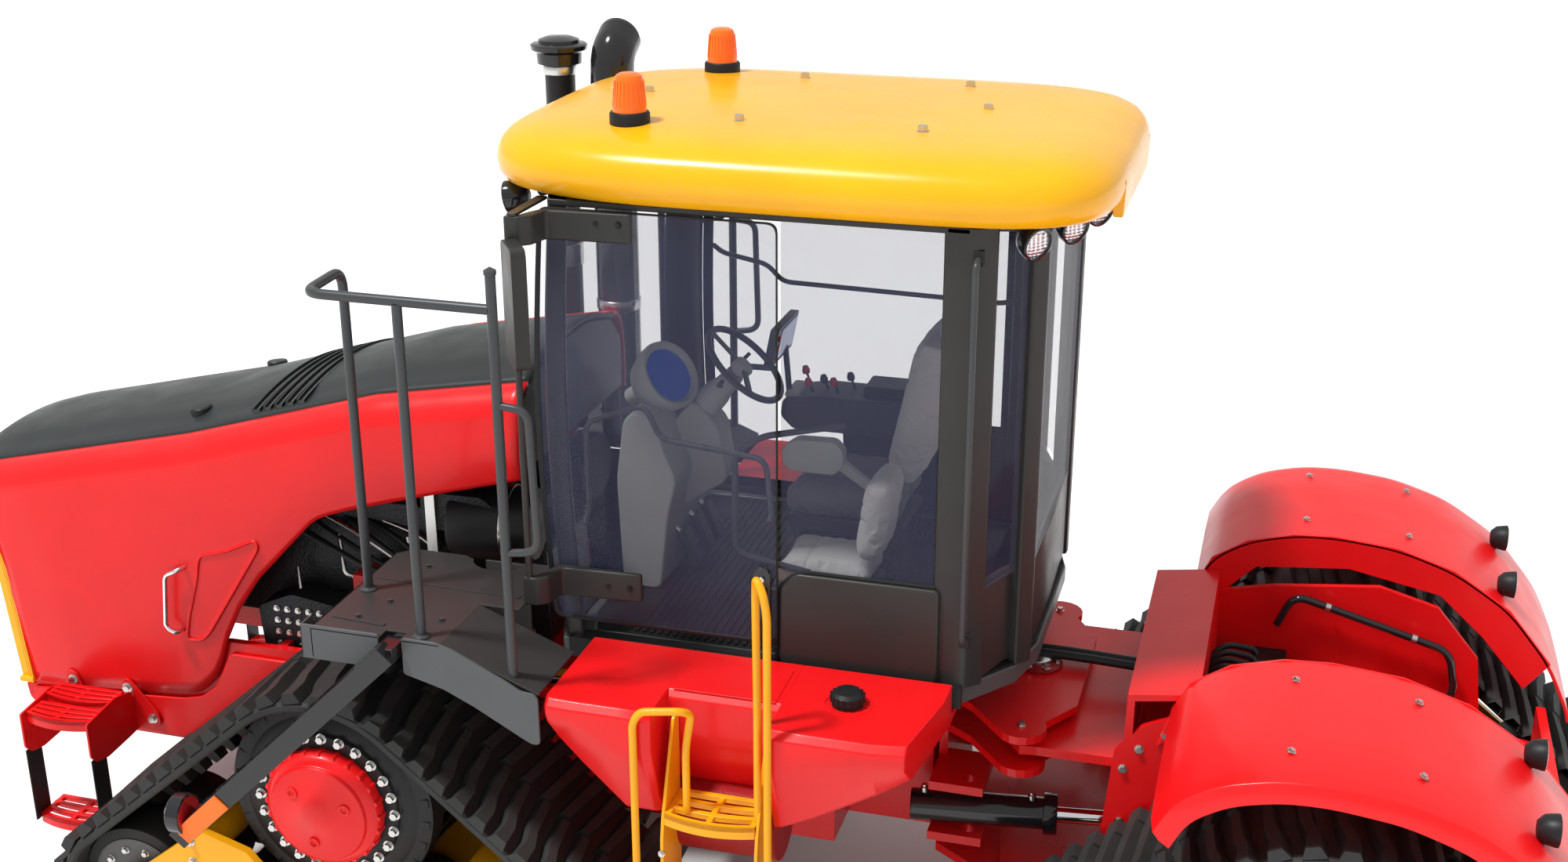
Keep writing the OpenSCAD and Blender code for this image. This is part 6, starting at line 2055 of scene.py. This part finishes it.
        self.shop.bolt_set("engine_bolts", mirrored(spots), "front_frame", "chrome", 0.011, 0.01)

    def _skirt(self) -> None:
        """Make the frame's red skirt and nose under the hood."""
        skirt = Workpiece("frame_skirt", RED_PANEL)
        lower = [
            (1.95, 0.64), (3.56, 0.64), (3.6, 0.7), (3.61, 0.79), (2.76, 0.855), (2.66, 0.88), (2.575, 0.945),
            (2.52, 1.05), (2.48, 1.13), (1.95, 1.13)
        ]
        skirt.prism(rounded_outline(lower, 0.02), 0.602, 0.624)
        skirt.both_sides()
        nose = [(3.52, 0.64), (3.6, 0.66), (3.655, 0.72), (3.665, 0.795), (3.62, 0.8), (3.5, 0.8)]
        skirt.prism(rounded_outline(nose, 0.015), -0.6, 0.6)
        skirt.done("front_frame", "red_paint", bevel=0.008, rounds=3)


# ---------------------------------------------------------------- articulation


@dataclass
class Articulation:
    """The hinge between the halves: link, pin, steering cylinders and hoses."""

    shop: Workshop
    pin: Flat = (-1.22, 0.0)
    drive_z: float = 0.83
    foot: Flat = (-1.01, 0.5)
    eye: Flat = (-1.76, 0.4)

    def build(self) -> None:
        """Make every piece of the hinge."""
        self._link()
        self._hoses()
        for name, side in SIDES.items():
            self._cylinder(name, side)

    def _link(self) -> None:
        """Make the pin bosses and bolts on the link's plates."""
        link = Workpiece("hinge_bosses", DARK_RED, STEEL)
        for z in (1.301, 1.146):
            link.turned([(0.1, 0.0), (0.1, 0.012), (0.085, 0.02), (0.06, 0.022)], (*self.pin, z), UP, 40)
        link.turned([(0.055, 0), (0.055, 0.016), (0.045, 0.022), (0.0, 0.024)], (*self.pin, 1.322), UP, 32, 1)
        link.done("hinge_link", "red_paint", bevel=0.002)
        spots = [Spot((-1.22 + 0.08 * math.cos(a), 0.08 * math.sin(a), 1.322), UP) for a in around(6)]
        spots += [Spot((-1.23, y, 1.3), UP) for y in (-0.56, 0.56)]
        self.shop.bolt_set("hinge_bolts", spots, "hinge_link", "chrome", 0.014, 0.014)

    def _hoses(self) -> None:
        """Make the hoses over the hinge and their fittings."""
        hoses = Workpiece("hinge_hose_set", HOSE_RUBBER)
        for k in range(4):
            y = -0.066 + 0.046 * k
            steps = [(-0.9 - 0.74 * i / 40, y, 1.34 + 0.01 * math.sin(math.pi * i / 40)) for i in range(41)]
            hoses.pipe(steps, 0.02, 0.0, 14)
        piece = hoses.shaped(bevel=0.0)
        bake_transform(piece)
        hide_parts("hinge_hoses")
        fittings = Workpiece("hinge_hose_fittings", STEEL)
        for k in range(4):
            fittings.turned(
                [(0.021, 0), (0.025, 0.004), (0.025, 0.04), (0.021, 0.044)], (-0.893, -0.066 + 0.046 * k, 1.34), BACK, 6
            )
        fittings.done("hinge_link", "chrome", bevel=0.001)

    def _cylinder(self, name: str, side: float) -> None:
        """Make one steering cylinder: its barrel, gland, ports, rod and eye."""
        foot = Vector((self.foot[0], self.foot[1] * side, self.drive_z))
        eye = Vector((self.eye[0], self.eye[1] * side, self.drive_z))
        along = unit(eye - foot)
        barrel = Workpiece(f"{name}_ram_barrel", GLOSS_BLACK, STEEL)
        body = [
            (0.0, -0.249), (0.066, -0.248), (0.069, -0.24), (0.069, 0.318), (0.088, 0.322), (0.089, 0.34),
            (0.089, 0.372), (0.084, 0.379), (0.036, 0.379)
        ]
        barrel.turned(body, foot, along, 40)
        for place in (-0.19, 0.27):
            barrel.turned(
                [(0.018, 0.06), (0.018, 0.088), (0.013, 0.092), (0.013, 0.1)], foot + along * place, UP, 16, 1
            )
        barrel.done(f"{name}_barrel", "black_metal", [f"{name}_cylinder_barrel"], bevel=0.0)
        rod = Workpiece(f"{name}_ram_rod", CHROME, GLOSS_BLACK)
        reach = (eye - foot).length
        rod.turned([(0.034, 0.1), (0.034, reach - 0.052)], foot, along, 36)
        rod.turned([(0.036, -0.054), (0.054, -0.052), (0.054, 0.052), (0.036, 0.054)], eye, UP, 36, 1)
        rod.turned([(0.034, -0.056), (0.034, 0.056)], eye, UP, 24, 0)
        rod.done(f"{name}_rod", "chrome", [f"{name}_cylinder_rod"], bevel=0.0)


# ---------------------------------------------------------------- rear half


@dataclass
class RearHalf:
    """Fenders, lamps, couplers, guard and drawbar of the rear half."""

    shop: Workshop
    inner: float = 0.621
    outer: float = 1.55

    def build(self) -> None:
        """Make every piece of the rear half."""
        self._fenders()
        self._lamps()
        self._couplers()
        self._guard()
        self._drawbar()
        self._frame_details()

    def _fenders(self) -> None:
        """Make both fenders as one thick crowned skin with a rolled outer edge."""
        top = [
            (-1.832, 1.505), (-1.9, 1.636), (-2.05, 1.736), (-2.25, 1.79), (-2.43, 1.8), (-2.7, 1.775), (-2.95, 1.695),
            (-3.2, 1.536)
        ]
        top += [(-3.4, 1.297), (-3.502, 1.08), (-3.517, 1.024)]
        points = rounded_route([(x, 0.0, z) for x, z in top], 0.09, 4)
        centre = Vector((-2.65, 0.0, 0.9))
        fender = Workpiece("rear_fender_skins", RED_PANEL)
        rows = []
        for p in points:
            out = (p - centre).normalized()

            def at(y: float, drop: float) -> Point:
                """Return a point of the section, dropped towards the fender's middle."""
                q = p - out * drop
                return (q.x, y, q.z)

            rows.append([
                at(self.inner, 0.002), at(0.8, 0.0), at(1.2, 0.0), at(1.46, 0.004), at(self.outer - 0.02, 0.02),
                at(self.outer, 0.05),
                at(self.outer, 0.1), at(self.outer - 0.014, 0.1), at(self.outer - 0.016, 0.054), at(1.44, 0.024),
                at(1.2, 0.018), at(self.inner, 0.018),
            ])
        fender.loft(rows)
        cheek = [
            (-1.84, 1.51), *top[1:9], (-3.3, 1.16), (-3.1, 1.39), (-2.9, 1.57), (-2.5, 1.65), (-2.1, 1.61),
            (-1.9, 1.41), (-1.79, 1.33)
        ]
        fender.prism(cheek, self.inner, self.inner + 0.012)
        fender.both_sides().done("rear_frame", "red_plastic", ["rear_fenders"], bevel=0.004, sharp=40)
        spots = [Spot((x, y, z), (-0.4, 0, 1)) for x, z in ((-2.3, 1.797), (-2.75, 1.768)) for y in (0.8, 1.35)]
        self.shop.bolt_set("fender_bolts", mirrored(spots), "rear_frame", "chrome", 0.012, 0.008)

    def _lamps(self) -> None:
        """Make the bowl lamps at the back of the fenders."""
        lamps = Workpiece("fender_lamp_bowls", SOFT_BLACK, LENS, TAIL_RED)
        for y, lens in ((0.768, 1), (1.3, 2)):
            c = (-3.19, y, 1.6)
            lamps.turned(
                [(0.0, -0.045), (0.03, -0.043), (0.052, -0.02), (0.06, 0.02), (0.06, 0.03), (0.054, 0.031)], c, BACK,
                36, 0
            )
            lamps.turned([(0.055, 0.026), (0.052, 0.033), (0.0, 0.036)], c, BACK, 36, lens)
            lamps.pipe([(-3.17, y, 1.55), (-3.16, y, 1.5)], 0.014, 0.0, 12, 0)
        lamps.both_sides().done("rear_frame", "black_plastic", ["fender_lamps"], bevel=0.0)

    def _couplers(self) -> None:
        """Make the coupler block with its sockets, caps and hoses."""
        block = Workpiece("coupler_block", SOFT_BLACK, STEEL, KNOB_RED, HOSE_RUBBER)
        block.block((-2.268, -2.112), (-0.258, 0.258), (1.156, 1.328))
        block.block((-2.268, -2.112), (-0.588, 0.588), (1.156, 1.228))
        for k in range(6):
            y = -0.21 + 0.084 * k
            block.turned(
                [(0.023, 0), (0.023, 0.05), (0.019, 0.054), (0.019, 0.078), (0.012, 0.08)], (-2.269, y, 1.27), BACK, 20,
                1
            )
            block.turned(
                [(0.0, 0.074), (0.018, 0.078), (0.018, 0.08), (0.0, 0.081)], (-2.269, y, 1.27), BACK, 18,
                2 if k % 2 else 0
            )
            block.pipe(
                [(-2.12, y, 1.32), (-2.14, y, 1.4), (-2.0, y * 0.8, 1.43), (-1.93, y * 0.6, 1.35)], 0.014, 0.06, 12, 3
            )
        block.done("rear_frame", "black_metal", ["hydraulic_couplers"], bevel=0.003)

    def _guard(self) -> None:
        """Make the tube guards beside the couplers, with their clamps."""
        guard = Workpiece("coupler_guard_tubes", GLOSS_BLACK, STEEL)
        y = 0.53
        corners = [(-2.213, y, 1.378), (-2.274, y, 1.535), (-2.965, y, 1.346), (-3.006, y, 1.137), (-2.919, y, 1.024)]
        guard.pipe(corners, 0.0175, 0.07, 16)
        a, b = Vector(corners[1]), Vector(corners[2])
        clamp = [(0.0178, 0), (0.023, 0.003), (0.023, 0.025), (0.0178, 0.028)]
        for share in (0.2, 0.75):
            guard.turned(clamp, a.lerp(b, share), b - a, 20, 1)
        guard.both_sides().done("rear_frame", "black_metal", ["coupler_guard"], bevel=0.0)

    def _drawbar(self) -> None:
        """Make the drawbar with its ringed eye and its support plate."""
        bar = Workpiece("drawbar_tongue", GLOSS_BLACK, STEEL)
        ring, hole = ([(-3.83 + r * math.cos(a), r * math.sin(a)) for a in around(40)] for r in (0.089, 0.036))
        bar.frame(ring, hole, 0.471, 0.549, "z")
        bar.prism(
            rounded_outline([(-3.42, 0.059), (-3.75, 0.059), (-3.75, -0.059), (-3.42, -0.059)], 0.006), 0.473, 0.547,
            "z"
        )
        plate = [(-0.199, 0.471), (0.199, 0.471), (0.199, 0.84), (0.15, 0.899), (-0.15, 0.899), (-0.199, 0.84)]
        bar.prism(plate, -3.439, -3.401, "x")
        bar.done("rear_frame", "black_metal", ["drawbar"], bevel=0.004)
        spots = [Spot((-3.44, y, z), BACK) for y in (-0.15, 0.15) for z in (0.6, 0.7, 0.8)]
        self.shop.bolt_set("drawbar_bolts", spots, "rear_frame", "chrome", 0.016, 0.014)

    def _frame_details(self) -> None:
        """Set the bolts on the rear frame's side sheets."""
        spots = [
            Spot((x, 0.621, z), LEFT)
            for x, z in ((-1.66, 1.2), (-1.72, 1.3), (-1.82, 1.38), (-1.98, 1.42), (-2.2, 1.46), (-1.66, 0.95))
        ]
        self.shop.bolt_set("side_sheet_bolts", mirrored(spots), "rear_frame", "chrome", 0.014, 0.012)


# ---------------------------------------------------------------- carried-over parts


@dataclass
class CarriedOver:
    """Finishes of the CAD parts that keep their own shape."""

    looks: dict[str, Finish] = field(
        default_factory=lambda: {
            "front_frame": RED_PAINT,
            "front_axle": DARK_RED,
            "rear_axle": DARK_RED,
            "drive_shaft": STEEL,
            "rear_frame": RED_PAINT,
            "hinge_link": RED_PAINT,
            "cab_floor": SOFT_BLACK,
        }
    )

    def dress(self, nodes: dict[str, bpy.types.Object]) -> None:
        """Give each carried-over node its finish.

        Args:
            nodes: The frame's CAD nodes by name.
        """
        for name, finish in self.looks.items():
            piece = nodes[name]
            for place in piece.material_slots:
                place.material = finish.material()
            if not piece.material_slots:
                piece.data.materials.append(finish.material())
            LOG.info("%s: keeps its shape, finish %s", name, finish.name)


# ---------------------------------------------------------------- studio


@dataclass
class Studio:
    """Floor, lights and camera."""

    floor_half: float = 70.0
    key_way: Point = (-0.35, -0.25, -0.9)
    key_strength: float = 3.1
    key_angle: float = 7.0
    sky_strength: float = 0.66
    camera_at: Point = (-2.174, 7.435, 5.214)
    camera_tilt: float = 69.25
    camera_turn: float = 196.02
    lens: float = 43.04

    def build(self) -> None:
        """Make the whole studio."""
        self._floor()
        self._lights()
        self._camera()

    def _floor(self) -> None:
        """Make the plain pale floor."""
        h = self.floor_half
        mesh = bpy.data.meshes.new("floor")
        mesh.from_pydata([(-h, -h, 0), (h, -h, 0), (h, h, 0), (-h, h, 0)], [], [(0, 1, 2, 3)])
        mesh.materials.append(FLOOR_PALE.material())
        linked("floor", mesh)

    def _lights(self) -> None:
        """Make the bright surroundings and one soft key light."""
        scene = bpy.context.scene
        world = bpy.data.worlds.new("surroundings")
        world.use_nodes = True
        back = world.node_tree.nodes["Background"]
        back.inputs["Color"].default_value = (1.0, 1.0, 1.0, 1.0)
        back.inputs["Strength"].default_value = self.sky_strength
        scene.world = world
        sun = bpy.data.lights.new("key", "SUN")
        sun.energy = self.key_strength
        sun.angle = math.radians(self.key_angle)
        key = linked("key", sun)
        key.rotation_euler = Vector(self.key_way).to_track_quat("-Z", "Y").to_euler()
        scene.view_settings.view_transform = "Standard"

    def _camera(self) -> None:
        """Make the camera."""
        camera = bpy.data.cameras.new("camera")
        camera.lens = self.lens
        camera.sensor_width = 36.0
        camera.clip_end = 400.0
        view = linked("camera", camera)
        view.location = self.camera_at
        view.rotation_euler = (math.radians(self.camera_tilt), 0.0, math.radians(self.camera_turn))
        bpy.context.scene.camera = view


def main() -> None:
    """Build the studio and every sub-assembly."""
    logging.basicConfig(level=logging.INFO, format="%(name)s %(message)s")
    shop = Workshop()
    Studio().build()
    CarriedOver().dress(frame["nodes"])
    for end in ("front", "rear"):
        for side_name in SIDES:
            low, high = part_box(f"{end}_{side_name}_belt")
            TrackUnit(shop, end, side_name, (low[0] + high[0]) / 2).build()
    Hood(shop).build()
    CabShell(shop).build()
    Interior(shop).build()
    FrontHalf(shop).build()
    Articulation(shop).build()
    RearHalf(shop).build()


if __name__ == "__main__":
    main()
